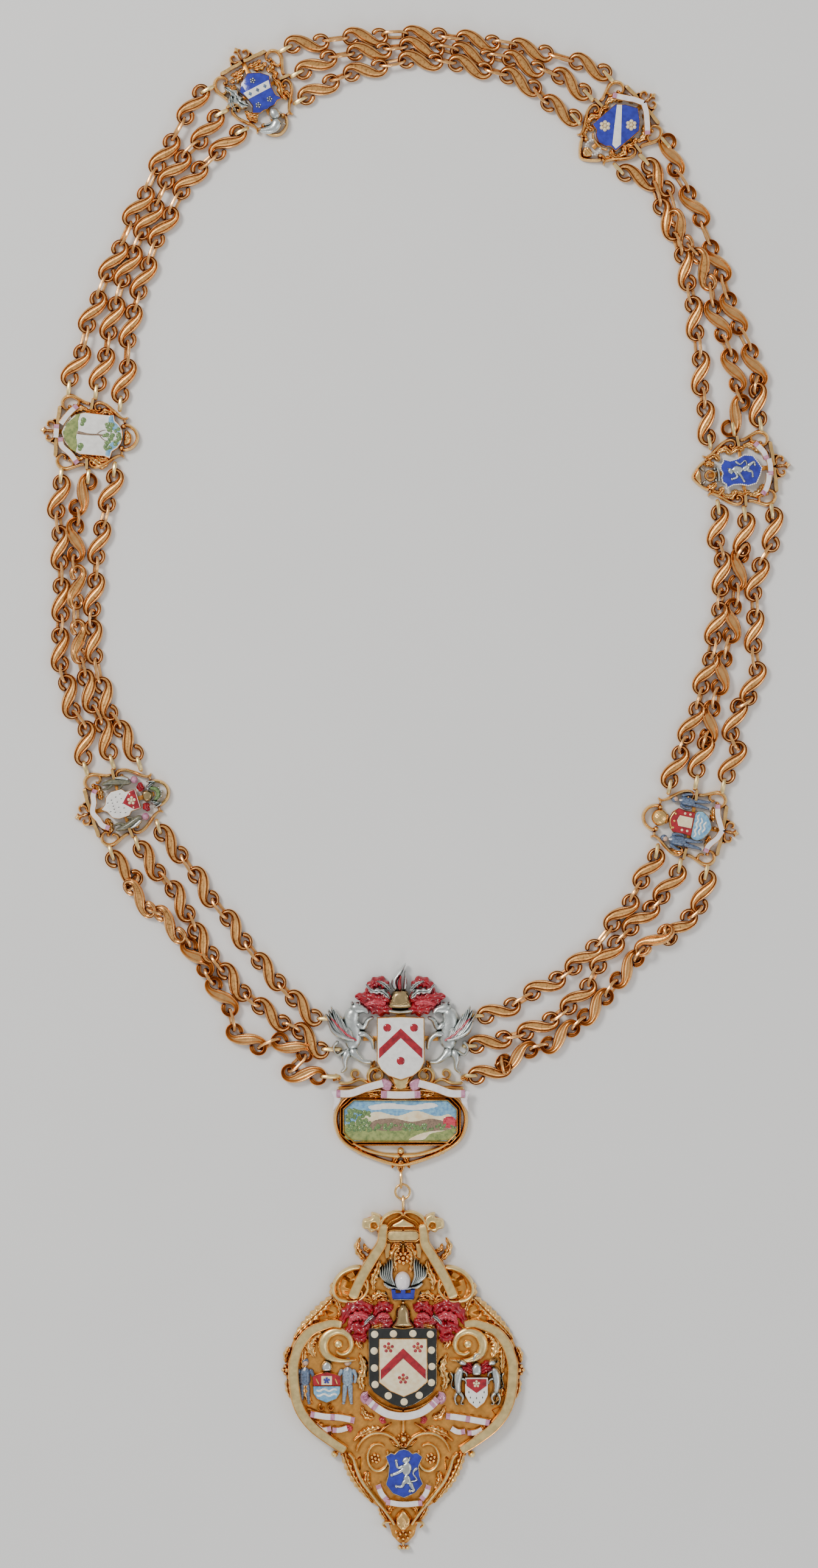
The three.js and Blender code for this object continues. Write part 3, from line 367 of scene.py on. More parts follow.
def dome(x, y, z0, r, h, sides=12, rings=4):
    """A round-topped bead or boss."""
    points = []
    for i in range(rings):
        lift = math.pi / 2 * i / rings
        points += [
            (x + r * math.cos(lift) * math.cos(2 * math.pi * k / sides),
             y + r * math.cos(lift) * math.sin(2 * math.pi * k / sides), z0 + h * math.sin(lift))
            for k in range(sides)
        ]
    points.append((x, y, z0 + h))
    faces = [
        (i * sides + k, i * sides + (k + 1) % sides, (i + 1) * sides + (k + 1) % sides,
         (i + 1) * sides + k)
        for i in range(rings - 1) for k in range(sides)
    ]
    faces += [((rings - 1) * sides + k, (rings - 1) * sides + (k + 1) % sides, rings * sides)
              for k in range(sides)]
    return points, faces


def turned_ccw(outline):
    p = np.array(outline, float)
    area = np.sum(p[:, 0] * np.roll(p[:, 1], -1) - p[:, 1] * np.roll(p[:, 0], -1))
    return p if area > 0 else p[::-1]


def inset(outline, distance):
    """The outline moved inwards by a distance."""
    ahead = np.roll(outline, -1, 0) - outline
    ahead /= np.maximum(np.linalg.norm(ahead, axis=1), 1e-9)[:, None]
    before = np.roll(ahead, 1, 0)
    normal = np.stack([-(ahead + before)[:, 1], (ahead + before)[:, 0]], 1)
    normal /= np.maximum(np.linalg.norm(normal, axis=1), 1e-6)[:, None]
    lean = np.maximum(np.abs(np.sum(normal * np.stack([-ahead[:, 1], ahead[:, 0]], 1), 1)), 0.5)
    return outline + normal * (distance / lean)[:, None]


def slab(outline, z0, z1, bevel=0.3):
    """A plate with a rounded top edge."""
    p = turned_ccw(outline)
    n = len(p)
    rings = [(p, z0), (p, z1 - bevel), (inset(p, bevel * 0.3), z1 - bevel * 0.3),
             (inset(p, bevel), z1)]
    points = [(x, y, z) for ring, z in rings for x, y in ring]
    faces = [(r * n + k, r * n + (k + 1) % n, (r + 1) * n + (k + 1) % n, (r + 1) * n + k)
             for r in range(len(rings) - 1) for k in range(n)]
    faces.append(tuple((len(rings) - 1) * n + k for k in range(n)))
    return points, faces


def relief(outline, z0, height, soft=1.2, step=0.45, detail=None, smooth=True, holes=(),
           back=None):
    """A modelled form that rises from its outline over a distance soft. detail(x, y) adds to it;
    holes are openings right through, and back is the height of a flat underside."""
    edge = turned_ccw(spline(outline, step, True) if smooth else even(outline, step, True))
    loops = [edge] + [turned_ccw(even(hole, step, True))[::-1] for hole in holes]
    low, high = edge.min(0), edge.max(0)
    grid = [
        (x + (0.5 * step if row % 2 else 0), y)
        for row, y in enumerate(np.arange(low[1], high[1], step * 0.87))
        for x in np.arange(low[0], high[0], step)
    ]
    grid = np.array(grid)
    a = np.vstack(loops)
    b = np.vstack([np.roll(loop, -1, 0) for loop in loops])

    def depth(points):
        """How far inside the outline each point is; negative outside."""
        best = np.full(len(points), 1e9)
        inside = np.zeros(len(points), bool)
        for (ax, ay), (bx, by) in zip(a, b):
            dx, dy = bx - ax, by - ay
            t = np.clip(((points[:, 0] - ax) * dx + (points[:, 1] - ay) * dy)
                        / max(dx * dx + dy * dy, 1e-12), 0, 1)
            away = np.hypot(points[:, 0] - ax - t * dx, points[:, 1] - ay - t * dy)
            best = np.minimum(best, away)
            if ay != by:
                crossed = ((ay > points[:, 1]) != (by > points[:, 1])) & (
                    points[:, 0] < (bx - ax) * (points[:, 1] - ay) / (by - ay) + ax)
                inside ^= crossed
        return np.where(inside, best, -best)

    grid = grid[depth(grid) > 0.35 * step]
    flat = [Vector(p) for p in np.vstack([a, grid])]
    rim, start = [], 0
    for loop in loops:
        rim += [(start + i, start + (i + 1) % len(loop)) for i in range(len(loop))]
        start += len(loop)
    made = delaunay_2d_cdt(flat, rim, [], 2 if holes else 1, 1e-5)
    placed = np.array([tuple(v) for v in made[0]])
    inner = np.maximum(depth(placed), 0)
    q = np.clip(inner / soft, 0, 1)
    rise = height * np.sqrt(1 - (1 - q) ** 2)
    if detail:
        rise = rise + detail(placed[:, 0], placed[:, 1]) * np.clip(q * 2, 0, 1)
    points = [(x, y, z0 + max(z, 0)) for (x, y), z in zip(placed, rise)]
    faces = [tuple(f) for f in made[2]]
    # The walls under the edges, down a little so that the form sits on what is below.
    floor_z = z0 - 0.8 if back is None else back
    if back is not None:
        under = len(points)
        points += [(x, y, back) for x, y in placed]
        faces += [tuple(under + k for k in reversed(f)) for f in made[2]]
    for loop in loops:
        count = len(points)
        points += [(x, y, floor_z) for x, y in loop]
        near = [int(np.argmin(np.hypot(placed[:, 0] - x, placed[:, 1] - y))) for x, y in loop]
        faces += [(count + i, count + (i + 1) % len(loop), near[(i + 1) % len(loop)], near[i])
                  for i in range(len(loop)) if near[i] != near[(i + 1) % len(loop)]]
    return points, faces


LEAF_FULLNESS = 1.5  # how far the lobes reach past the width that is asked for


def leaf(path, width, z0, height, lobes=5, curl=0.0, step=0.45):
    """An acanthus leaf along a line: lobed edges, a sunk midrib and a vein up each lobe."""
    line = spline(path, step)
    count = len(line)
    tangent = np.gradient(line, axis=0)
    tangent /= np.maximum(np.linalg.norm(tangent, axis=1), 1e-9)[:, None]
    side = np.stack([-tangent[:, 1], tangent[:, 0]], 1)
    across = np.linspace(-1, 1, 13)
    width = width * LEAF_FULLNESS
    points = []
    for i in range(count):
        t = i / (count - 1)
        swell = math.sin(math.pi * min(t * 0.82 + 0.12, 1)) ** 0.7 * (1 - 0.35 * t)
        beat = t * lobes
        for u in across:
            phase = beat + 0.45 * abs(u)
            lobe = 1 + 0.16 * math.cos(2 * math.pi * phase) * abs(u) ** 2
            out = u * swell * lobe * width / 2
            vein = 0.22 * math.cos(2 * math.pi * phase) * abs(u) ** 0.7
            rib = 0.3 * math.exp(-((u / 0.16) ** 2))
            rise = (1 - abs(u) ** 2.4) * 0.8 + 0.2 + vein - rib
            lift = height * rise * (0.55 + 0.45 * math.sin(math.pi * min(1, t + 0.25)))
            points.append((line[i, 0] + side[i, 0] * out, line[i, 1] + side[i, 1] * out,
                           z0 + max(lift, 0.05) + curl * t * t))
    n = len(across)
    faces = [(i * n + k, i * n + k + 1, (i + 1) * n + k + 1, (i + 1) * n + k)
             for i in range(count - 1) for k in range(n - 1)]
    faces = [tuple(reversed(f)) for f in faces]
    # Walls down both sides, so that the leaf has a thickness.
    base = len(points)
    edges = [(i * n, i) for i in range(count)] + [(i * n + n - 1, i) for i in range(count)]
    points += [(points[k][0], points[k][1], z0 - 0.5) for k, _ in edges]
    for i in range(count - 1):
        faces.append((i * n, (i + 1) * n, base + i + 1, base + i))
        j = base + count + i
        faces.append(((i + 1) * n + n - 1, i * n + n - 1, j, j + 1))
    return points, faces


def moved(shape, place):
    """The shape, moved by a matrix."""
    points, faces = shape
    return [tuple(place @ Vector(p)) for p in points], faces


def mirrored(shape):
    """The shape on the other side of the middle line."""
    points, faces = shape
    return [(-x, y, z) for x, y, z in points], [tuple(reversed(f)) for f in faces]


def flip(points):
    return [(-p[0], *p[1:]) for p in points]


class Piece:
    """One piece of the chain: the shapes that stand for some CAD nodes, gathered by finish."""

    def __init__(self, name, nodes, place):
        self.name, self.nodes, self.place = name, nodes, place
        self.shapes = {}

    def add(self, finish, *shapes):
        points, faces = self.shapes.setdefault(finish, ([], []))
        for more, their_faces in shapes:
            start = len(points)
            points.extend(self.place @ Vector(p) for p in more)
            faces.extend(tuple(start + k for k in f) for f in their_faces)

    def both(self, finish, *shapes):
        self.add(finish, *shapes, *(mirrored(s) for s in shapes))

    def build(self):
        for finish, (points, faces) in self.shapes.items():
            material, slot = FINISHES[finish]
            mesh = bpy.data.meshes.new(f"{self.name}_{finish}")
            # Nothing reaches past the CAD part's own box.
            inside = np.clip(np.array(points) * MM, CAD_BOX[0], CAD_BOX[1])
            mesh.from_pydata(inside.tolist(), [], faces)
            mesh.materials.append(material)
            mesh.polygons.foreach_set("use_smooth", [True] * len(mesh.polygons))
            mesh.set_sharp_from_angle(angle=math.radians(38))
            made = bpy.data.objects.new(f"{self.name}_{finish}", mesh)
            bpy.context.scene.collection.objects.link(made)
            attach(made, "root")
            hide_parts(*self.nodes)


# ---- The strands of links ---------------------------------------------------------------------

EYE = 6.25  # from the middle of a scroll link to the middle of each eye
SCROLL = [  # half of a scroll link's centre line and its width there, from a curl's end
    (0.7, -3.0, 1.9), (1.9, -4.1, 2.2), (2.5, -5.6, 1.8), (2.15, -7.3, 1.6), (0.9, -8.5, 1.6),
    (-0.9, -8.6, 1.8), (-2.4, -7.6, 2.2), (-3.0, -5.9, 2.7), (-2.7, -4.2, 3.3), (-1.7, -2.3, 4.3),
]
FRONT = [(-0.7, 0), (-1, 0.3), (-1, 0.62), (-0.93, 0.8), (-0.8, 0.87), (-0.68, 0.83),
         (-0.6, 0.74), (-0.48, 0.84), (-0.24, 0.96), (0, 1), (0.24, 0.96), (0.48, 0.84),
         (0.6, 0.74), (0.68, 0.83), (0.8, 0.87), (0.93, 0.8), (1, 0.62), (1, 0.3), (0.7, 0)]
BACK = [(-0.7, 0), (-1, 0.3), (-1, 0.7), (-0.92, 0.92), (-0.8, 1), (-0.66, 0.96), (-0.5, 0.8),
        (-0.25, 0.66), (0, 0.62), (0.25, 0.66), (0.5, 0.8), (0.66, 0.96), (0.8, 1),
        (0.92, 0.92), (1, 0.7), (1, 0.3), (0.7, 0)]


def scroll_link(face, thick=3.1):
    """One S-shaped link, flat, along +Y: its engraved field and its plain rims."""
    half = np.array(SCROLL)
    line = np.vstack([half, [(0, 0, 4.9)], -half[::-1] * (1, 1, -1)])
    line = spline(line, 0.6)
    if face == "back":
        line[:, 0] *= -1
    section = BACK if face == "back" else FRONT
    middle = np.clip(1 - np.abs(np.linspace(-1, 1, len(line))), 0, 1)
    tall = thick * (0.78 + 0.22 * np.clip(middle * 2.2 - 0.4, 0, 1))
    points, faces = sweep(line[:, :2], line[:, 2], tall, 0.0, section)
    n = len(section)
    field, rims = [], []
    for f in faces:
        k = min(v % n for v in f)
        row = min(v // n for v in f) / len(line)
        chased = face != "back" and len(f) == 4 and 6 <= k <= 11 and 0.27 < row < 0.73
        (field if chased else rims).append(f)
    return points, field, rims


def oval_link(length, lean, wide=5.2, wire=0.66):
    """One oval link along +Y, leaning from upright by some degrees, standing on z = 0."""
    a, b = length / 2 - wire, wide / 2 - wire
    turns = np.linspace(0, 2 * math.pi, 28, endpoint=False)
    tip = math.radians(lean)
    path = []
    for t in turns:
        flat = 1.0 - 0.12 * abs(math.sin(2 * t))
        across = b * math.cos(t) / flat
        path.append((across * math.sin(tip), a * math.sin(t), across * math.cos(tip)))
    low = min(p[2] for p in path)
    return tube([(x, y, z - low + wire) for x, y, z in path], wire, 8, True)


# Where the scroll links lie, strand by strand: x, y, and a letter for a link that doesn't show its
# engraved front: B for its back, E for one on edge. Each stretch runs between two end loops.
STRANDS = {
    1: {
        "inner": [(-100.4, -22.5), (-87.1, -40.2), (-73.7, -57.8), (-60.3, -75), (-45.8, -90)],
        "middle": [(-109.3, -29.5), (-96.7, -46.1), (-87.1, -63.2), (-74.5, -79.3),
                   (-59.2, -92.7), (-43.1, -103.4)],
        "outer": [(-119.7, -32.7), (-112.8, -44.5, "E"), (-100.4, -55.2, "E"),
                  (-89.7, -69.1, "B"), (-79.5, -85.2, "B"), (-69.4, -102.8, "B"),
                  (-50.6, -106.1, "B"), (-45.8, -117.3, "B")],
    },
    2: {
        "inner": [(-118.1, 19.8), (-127.2, 37), (-132.2, 60.5), (-132, 79.8), (-129.9, 101.3),
                  (-125.1, 122.7)],
        "middle": [(-127.2, 20.9), (-134.2, 40.2), (-138.7, 60.5, "E"), (-139.6, 83, "E"),
                   (-139.6, 102.3, "B"), (-136.6, 121, "B")],
        "outer": [(-135.8, 18.8), (-142.2, 38), (-146, 57.3), (-145.6, 77.7), (-146, 99.1),
                  (-146.5, 120)],
    },
    3: {
        "inner": [(-119.7, 167.7), (-117, 190.2), (-111.7, 210), (-103.6, 230.9),
                  (-92.4, 250.2), (-77.1, 265.7)],
        "middle": [(-128.8, 172.5), (-124.5, 193.4), (-118.1, 214.8), (-109.5, 234.1),
                   (-99, 254.5), (-85.4, 271.1)],
        "outer": [(-139.5, 174.1), (-132.6, 196.1), (-124, 217), (-113.8, 239.5),
                  (-103.1, 260.9), (-91.3, 281.3)],
    },
    4: {
        "inner": [(-39.9, 287.7), (-20.6, 295.7), (2.2, 299.6), (22.6, 297.1), (43.4, 290.9),
                  (60.1, 279.1)],
        "middle": [(-41, 297.9), (-19, 303.4), (2.7, 305), (23.6, 302.2), (44.5, 298.2),
                   (64.3, 290)],
        "outer": [(-44.7, 306.6), (-20.6, 309.4), (3.8, 309.9), (25.8, 307.6), (47.7, 303.9),
                  (72, 297)],
    },
    5: {
        "inner": [(91.7, 251.3), (103.4, 234.1), (110.9, 213.8), (114.7, 193.4),
                  (117.2, 170.9), (119.5, 150.5)],
        "middle": [(99.7, 251.3), (109.3, 229.8, "E"), (119, 213.8, "E"), (124.3, 192.3, "B"),
                   (130.8, 172, "B"), (131.6, 153.5, "B")],
        "outer": [(105.4, 260.4, "B"), (114.7, 239.5, "B"), (123.8, 217, "B"),
                  (130.8, 195.5, "B"), (139.3, 174.1, "B"), (140.8, 158)],
    },
    6: {
        "inner": [(124.3, 107.7), (125.9, 88.4), (123.8, 68), (119.5, 47.7), (113.6, 27.3),
                  (106.7, 9.1)],
        "middle": [(135.1, 104.5), (132.9, 90.5, "B"), (130.2, 69.1, "B"), (125.9, 47.7, "B"),
                   (121.1, 27.3, "B"), (117.5, 13.4)],
        "outer": [(146.8, 106.6), (140.4, 86.2), (139.3, 64.8), (138.8, 43.4),
                  (131.3, 28.4), (130.3, 11)],
    },
    7: {
        "inner": [(95.9, -32.7), (84.7, -50.9), (69.2, -69.1), (53.1, -80.9), (34.3, -91.1)],
        "middle": [(104.5, -39.1), (92.7, -53), (78.8, -68), (67, -85.2), (50.4, -97.5),
                   (30.6, -103.9)],
        "outer": [(118.4, -42.3), (108.3, -56.8), (98.5, -62.5, "E"), (87, -74, "B"),
                  (74, -89.5, "B"), (59.5, -101.8, "B"), (41.8, -109.8, "B"), (30.6, -116.2)],
    },
}
ENDS = {  # what each stretch runs between: a badge and the side its loops are on, or the centre
    1: (("left_low", 1), ("centre", -1)),
    2: (("left_low", -1), ("left_middle", 1)),
    3: (("left_middle", -1), ("left_high", 1)),
    4: (("left_high", -1), ("right_high", 1)),
    5: (("right_high", -1), ("right_middle", 1)),
    6: (("right_middle", -1), ("right_low", 1)),
    7: (("right_low", -1), ("centre", 1)),
}
BADGE_EYES = {"inner": (16.6, 12), "middle": (20.6, 1.8), "outer": (21.2, -9.9)}
CENTRE_EYES = {
    -1: {"inner": (-35.4, 42.2), "middle": (-33.6, 29.6), "outer": (-34, 18.4)},
    1: {"inner": (34.2, 43.4), "middle": (31.4, 31), "outer": (31.4, 18.8)},
}


def end_eye(end, level):
    """The middle of the eye that hangs on an end loop, in the layout."""
    place, side = end
    if place == "centre":
        x, y = CENTRE_EYES[side][level]
        return LAYOUT.inverted() @ CENTRE @ Vector((x, y, 0))
    x, y = BADGE_EYES[level]
    return LAYOUT.inverted() @ badge_place(place) @ Vector((side * x, y, 0))


def strand(number, level):
    """One stretch of one strand: scroll links with oval links between them."""
    chance = random.Random(f"{number}{level}")
    piece = Piece(f"links_{number}_{level}", [f"chain_{number}_{level}"], LAYOUT)
    links = [(Vector((x, y, 0)), letter[0] if letter else "F")
             for x, y, *letter in STRANDS[number][level]]
    first, last = (end_eye(end, level) for end in ENDS[number])
    eyes = []
    for i, (middle, letter) in enumerate(links):
        before = first if i == 0 else links[i - 1][0]
        after = last if i == len(links) - 1 else links[i + 1][0]
        if i == 0:
            heading = (middle - first).normalized() * 2 + (after - middle).normalized() * 0.3
        elif i == len(links) - 1:
            heading = (last - middle).normalized() * 2 + (middle - before).normalized() * 0.3
        else:
            heading = after - before
        heading.normalize()
        turn = math.atan2(heading.y, heading.x) - math.pi / 2
        roll, lift, thick = 0.0, 0.25, 3.1
        if letter == "E":
            roll, lift, thick = math.radians(34), 2.4, 2.2
        elif number == 4:
            roll, lift, thick = math.radians(12), 0.95, 2.5
        place = (Matrix.Translation(middle + Vector((0, 0, lift)))
                 @ Matrix.Rotation(turn + math.radians(chance.uniform(-3, 3)), 4, "Z")
                 @ Matrix.Rotation(roll, 4, "Y"))
        points, field, rims = scroll_link("back" if letter == "B" else "front", thick)
        placed = [tuple(place @ Vector(p)) for p in points]
        piece.add("link", (placed, rims))
        if field:
            piece.add("chased", (placed, field))
        eyes.append((middle - heading * EYE, middle + heading * EYE))
    for (_, near), (far, _) in zip(eyes, eyes[1:]):
        gap = far - near
        length = min(max(gap.length + 1.5, 8.4), 11.6)
        turn = math.atan2(gap.y, gap.x) - math.pi / 2
        lean = chance.choice((-1, 1)) * chance.uniform(16, 34)
        place = Matrix.Translation((near + far) / 2) @ Matrix.Rotation(turn, 4, "Z")
        piece.add("link", moved(oval_link(length, lean), place))
    piece.build()


for number in STRANDS:
    for level in ("inner", "middle", "outer"):
        strand(number, level)

# ---- Forms that the badges, the centrepiece and the pendant share -----------------------------


def limb(path, widths, z0, height, step=0.45):
    """A rounded limb or stem along a line; with three numbers a point, it rises and falls."""
    return sweep(spline(path, step), widths, height, z0)


def rail(path, width, height, z0=0.3, section=HALF_ROUND, step=0.5):
    """A smooth strip."""
    return sweep(spline(path, step), width, height, z0, section)


def rosette(x, y, z0, r, petals=6):
    """A little flower of petals round a bead."""
    shapes = [dome(x, y, z0, r * 0.36, r * 0.6, 8, 3)]
    for k in range(petals):
        turn = 2 * math.pi * k / petals + 0.3
        shapes.append(dome(x + 0.64 * r * math.cos(turn), y + 0.64 * r * math.sin(turn), z0,
                           r * 0.36, r * 0.42, 8, 3))
    return shapes


# A lion rampant, facing left, 15 mm tall, standing on y = 0: each limb's line and widths.
LION = [
    ([(1.6, 12.6), (1.3, 9.8), (1.0, 7)], (3.4, 4.4, 2.8)),
    ([(1.0, 7.2), (1.6, 5), (2.8, 3.6)], (2.8, 3, 2.6)),
    ([(0.6, 10.2), (-2, 8.4), (-5, 7.2)], (2, 1.4, 1.3)),
    ([(0.2, 11), (-2.4, 10.4), (-3.2, 13)], (1.8, 1.3, 1.3)),
    ([(1.6, 5), (0.2, 4), (-0.7, 2.4), (-3, 2.3)], (2.6, 1.8, 1.3, 1.2)),
    ([(2.6, 4.2), (3.7, 2), (4.4, 0.6), (2.9, 0.4)], (2.6, 1.7, 1.3, 1.2)),
    ([(2.9, 4.4), (5.6, 5.2), (4, 8), (5.8, 10.4)], (0.9, 0.8, 0.8, 1.7)),
    ([(2.6, 13.8), (1.4, 13.6), (-0.5, 12.9)], (2.6, 2.8, 1.5)),
    ([(2.3, 14), (2.8, 15)], (1, 0.6)),
]


def lion(x, y, z0, height, size=1.0):
    """The lion, size times as large, with its feet at y."""
    shapes = []
    for path, widths in LION:
        line = [(x + px * size, y + py * size) for px, py in path]
        shapes.append(limb(line, [w * size for w in widths], z0, height, 0.4))
    shapes += [dome(x + px * size, y + py * size, z0, 0.8 * size, height * 1.1, 8, 3)
               for px, py in ((-5.1, 7.1), (-3.2, 13.3), (-3.1, 2.3), (2.7, 0.4))]
    return shapes


def person(piece, x, y, z0, size=1.0, coat="slate", turn=1):
    """A small standing figure in a suit and cap, with a plain face."""
    def line(points):
        return [(x + turn * px * size, y + py * size) for px, py in points]

    def widths(*w):
        return [v * size for v in w]

    piece.add(
        coat,
        limb(line([(-0.9, 7.4), (-1.0, 4), (-1.3, 0.6)]), widths(1.9, 1.6, 1.1), z0, 1.2),
        limb(line([(0.9, 7.4), (1.1, 4), (1.4, 0.6)]), widths(1.9, 1.6, 1.1), z0, 1.2),
        limb(line([(0, 13.2), (0, 10), (0, 6.6)]), widths(4.2, 3.8, 4.4), z0, 1.7),
        limb(line([(-1.9, 12.6), (-2.9, 10), (-2.4, 7.6)]), widths(1.5, 1.2, 1.0), z0 + 0.4, 1.2),
        limb(line([(1.9, 12.6), (3.0, 10.2), (3.4, 8)]), widths(1.5, 1.2, 1.0), z0 + 0.4, 1.2),
        limb(line([(-1.9, 0.5), (-0.8, 0.5)]), widths(1.0, 0.9), z0, 1),
        limb(line([(0.9, 0.5), (2.1, 0.5)]), widths(0.9, 1.0), z0, 1),
        dome(x, y + 15.2 * size, z0, 1.45 * size, 1.4, 12, 4),
    )
    piece.add("skin", dome(x + turn * 0.15 * size, y + 14.8 * size, z0 + 0.5, 1.1 * size, 1.15),
              dome(x + turn * 3.5 * size, y + 7.6 * size, z0 + 0.6, 0.5 * size, 0.8, 8, 3))
    piece.add("ribbon", limb(line([(0, 13.4), (0, 12)]), widths(1.2, 0.5), z0 + 1.2, 0.7))


def banner(piece, points, width, z0, z1, folds=(0.0, 1.0), edge=0.34, fold_size=1.6):
    """A ribbon: white enamel with a thin gold edge, and mauve strips at the places given as folds.
    """
    line = spline(points, 0.5)
    count = len(line)
    far = np.linspace(0, 1, count)
    wave = np.array([0.12 * math.cos(6 * math.pi * t) for t in far])
    piece.add("ribbon", sweep(line, width, z1 - z0 - 0.15 + wave, z0, FLAT, rounded=False))
    tangent = np.gradient(line, axis=0)
    tangent /= np.linalg.norm(tangent, axis=1)[:, None]
    side = np.stack([-tangent[:, 1], tangent[:, 0]], 1)
    for s in (-1, 1):
        rim = line + side * s * width / 2
        piece.add("gold", sweep(rim, edge, z1 - z0 + 0.05 + wave, z0, HALF_ROUND))
    for fold in folds:
        i = min(int(fold * count), count - 1)
        near = line[max(i - 2, 0):i + 3]
        heading = (near[-1] - near[0]) / np.linalg.norm(near[-1] - near[0])
        a = line[i] - heading * fold_size * (0.5 if 0 < fold < 1 else (0 if fold == 0 else 1))
        b = a + heading * fold_size
        piece.add("mauve", sweep(even([a, b], 0.4), width * 0.96, z1 - z0 + 0.06, z0, FLAT,
                                 rounded=False))


def shield(piece, finish, outline, z0, z1, rim=0.55, rim_finish="gold"):
    """An enamelled plate in a raised rim."""
    piece.add(finish, slab(outline, z0, z1, 0.3))
    edge = turned_ccw(even(outline, 0.5, True))
    piece.add(rim_finish, sweep(edge, rim, z1 - z0 + 0.18, z0, HALF_ROUND, closed=True))


def roundel(piece, finish, x, y, z, r, rise=0.3):
    piece.add(finish, dome(x, y, z - 0.1, r, rise + 0.1, 20, 4))


# ---- The six badges ---------------------------------------------------------------------------

FRAME_Z = 0.3
UPPER_SCROLL = [(8.6, 15.3), (7.8, 14.9), (7.6, 13.4), (8.6, 11.4), (10.7, 8.8), (12.7, 5.8),
                (13.3, 3.2), (12.3, 1.5), (10.6, 1.7), (9.8, 3), (10.6, 4)]
LOWER_SCROLL = [(12.5, -0.4), (12.8, -2.6), (14, -5.4), (15, -8.2), (14.4, -10.6), (12.4, -12),
                (10.2, -11.5), (9.2, -10), (9.9, -8.7), (11, -9)]
INNER_CURL = [(14.1, -5.8), (12.9, -5.2), (11.6, -5.6), (11, -6.8), (11.8, -7.6)]
STRAP = [(10.6, -12.8), (7.4, -12.9), (5, -13.1), (2.2, -13), (0, -13.5)]
SPUR = [(5.4, -12.8), (4.7, -14.2), (5, -15.2)]
PETAL = [(0.5, -13.6), (1.6, -14.2), (3.1, -14.3), (4, -15.6), (3.6, -17), (2.3, -17.2), (2, -16.2)]
FLEUR = [(0, -13), (0.8, -15.6), (0.7, -17.4), (1.7, -18.5), (0.9, -19.2), (0, -20.3),
         (-0.9, -19.2), (-1.7, -18.5), (-0.7, -17.4), (-0.8, -15.6)]
ARCHES = {
    "round": [(-5.2, 14.2), (-4.7, 16.6), (-3, 18.9), (0, 20), (3, 18.9), (4.7, 16.6), (5.2, 14.2)],
    "pointed": [(-6, 14.4), (-4.6, 16.6), (-2.2, 19), (0, 20.3), (2.2, 19), (4.6, 16.6), (6, 14.4)],
}


def badge_frame(piece, arch="round"):
    """The gold openwork: scrolled sides, a strap over a fleur-de-lis, and an arch for the crest."""
    strip, top = 1.45, 2.8
    piece.both(
        "gold",
        rail(UPPER_SCROLL, (0.9, 1.3, 1.6, 1.6, 1.6, 1.5, 1.2, 1.0), top),
        rail(LOWER_SCROLL, (1.5, 1.6, 1.9, 1.7, 1.4, 1.0), top + 0.1),
        rail(INNER_CURL, (1.5, 1.3, 1.0), top - 0.2),
        rail([(15, 0.5), (12.4, 0.3), (9.6, 0.1)], (1.1, 1.4, 1.1), top + 0.2, section=FLAT),
        rail(STRAP, (1.7, 1.5, 1.3), top, section=FLAT),
        rail(SPUR, (1.7, 1.2, 0.6), top),
        rail(PETAL, (1.2, 1.4, 1.5, 1.2, 0.9), top),
        rail([(5.6, 14.2), (7.9, 14.1)], 1.2, top - 0.3),
        dome(10.9, 3.4, FRAME_Z, 0.9, top - 0.2),
        dome(10.6, -8.9, FRAME_Z, 0.9, top - 0.2),
        dome(4.5, 13.9, FRAME_Z, 1.2, top - 0.2),
    )
    piece.add("gold", relief(FLEUR, FRAME_Z, top, 0.8, 0.4), rail(ARCHES[arch], strip + 0.1, top))
    # The end loops, in gold lightened as a painted highlight.
    for (x0, x1), y in (((10.2, 16.9), 11.8), ((14, 20.9), 1.4), ((14.4, 21.5), -9.8)):
        turns = np.linspace(0, 2 * math.pi, 24, endpoint=False)
        path = [((x0 + x1) / 2 + (x1 - x0 - 1.5) / 2 * math.cos(t), y, 2 + 1.15 * math.sin(t))
                for t in turns]
        piece.both("bright", tube(path, 0.86, 8, True))
    # A thin backing that ties the shield to the scrolls, in gold darkened as painted shade.
    piece.add("recess_shade", slab([(-13, -0.6), (13, -0.6), (13, 0.8), (-13, 0.8)], 0.1, 1.2, 0.2),
              slab([(-0.9, -13.4), (0.9, -13.4), (0.9, 14), (-0.9, 14)], 0.1, 1.2, 0.2))


def foliage(piece, *skipped):
    """Acanthus leaves between the shield and the scrolls."""
    leaves = {
        "low": ([(6.6, -8), (9.2, -6.6), (10.4, -3.6), (9.6, -1.2)], 2.6),
        "side": ([(8.6, -2), (9.6, 0.6), (8.4, 3), (7.2, 4)], 2.2),
        "high": ([(7.4, 3.6), (9.8, 5.6), (9.4, 8.4), (7.2, 9.6)], 2.4),
        "top": ([(5.4, 8.6), (7.8, 10.6), (6.8, 13), (4.4, 13.4)], 2.2),
        "foot": ([(3, -10.6), (6, -10.4), (8.4, -9), (8.8, -7.4)], 2),
    }
    for name, (path, width) in leaves.items():
        if name not in skipped:
            piece.both("gold", leaf(path, width, 0.8, 1.7, 4, 0.5))


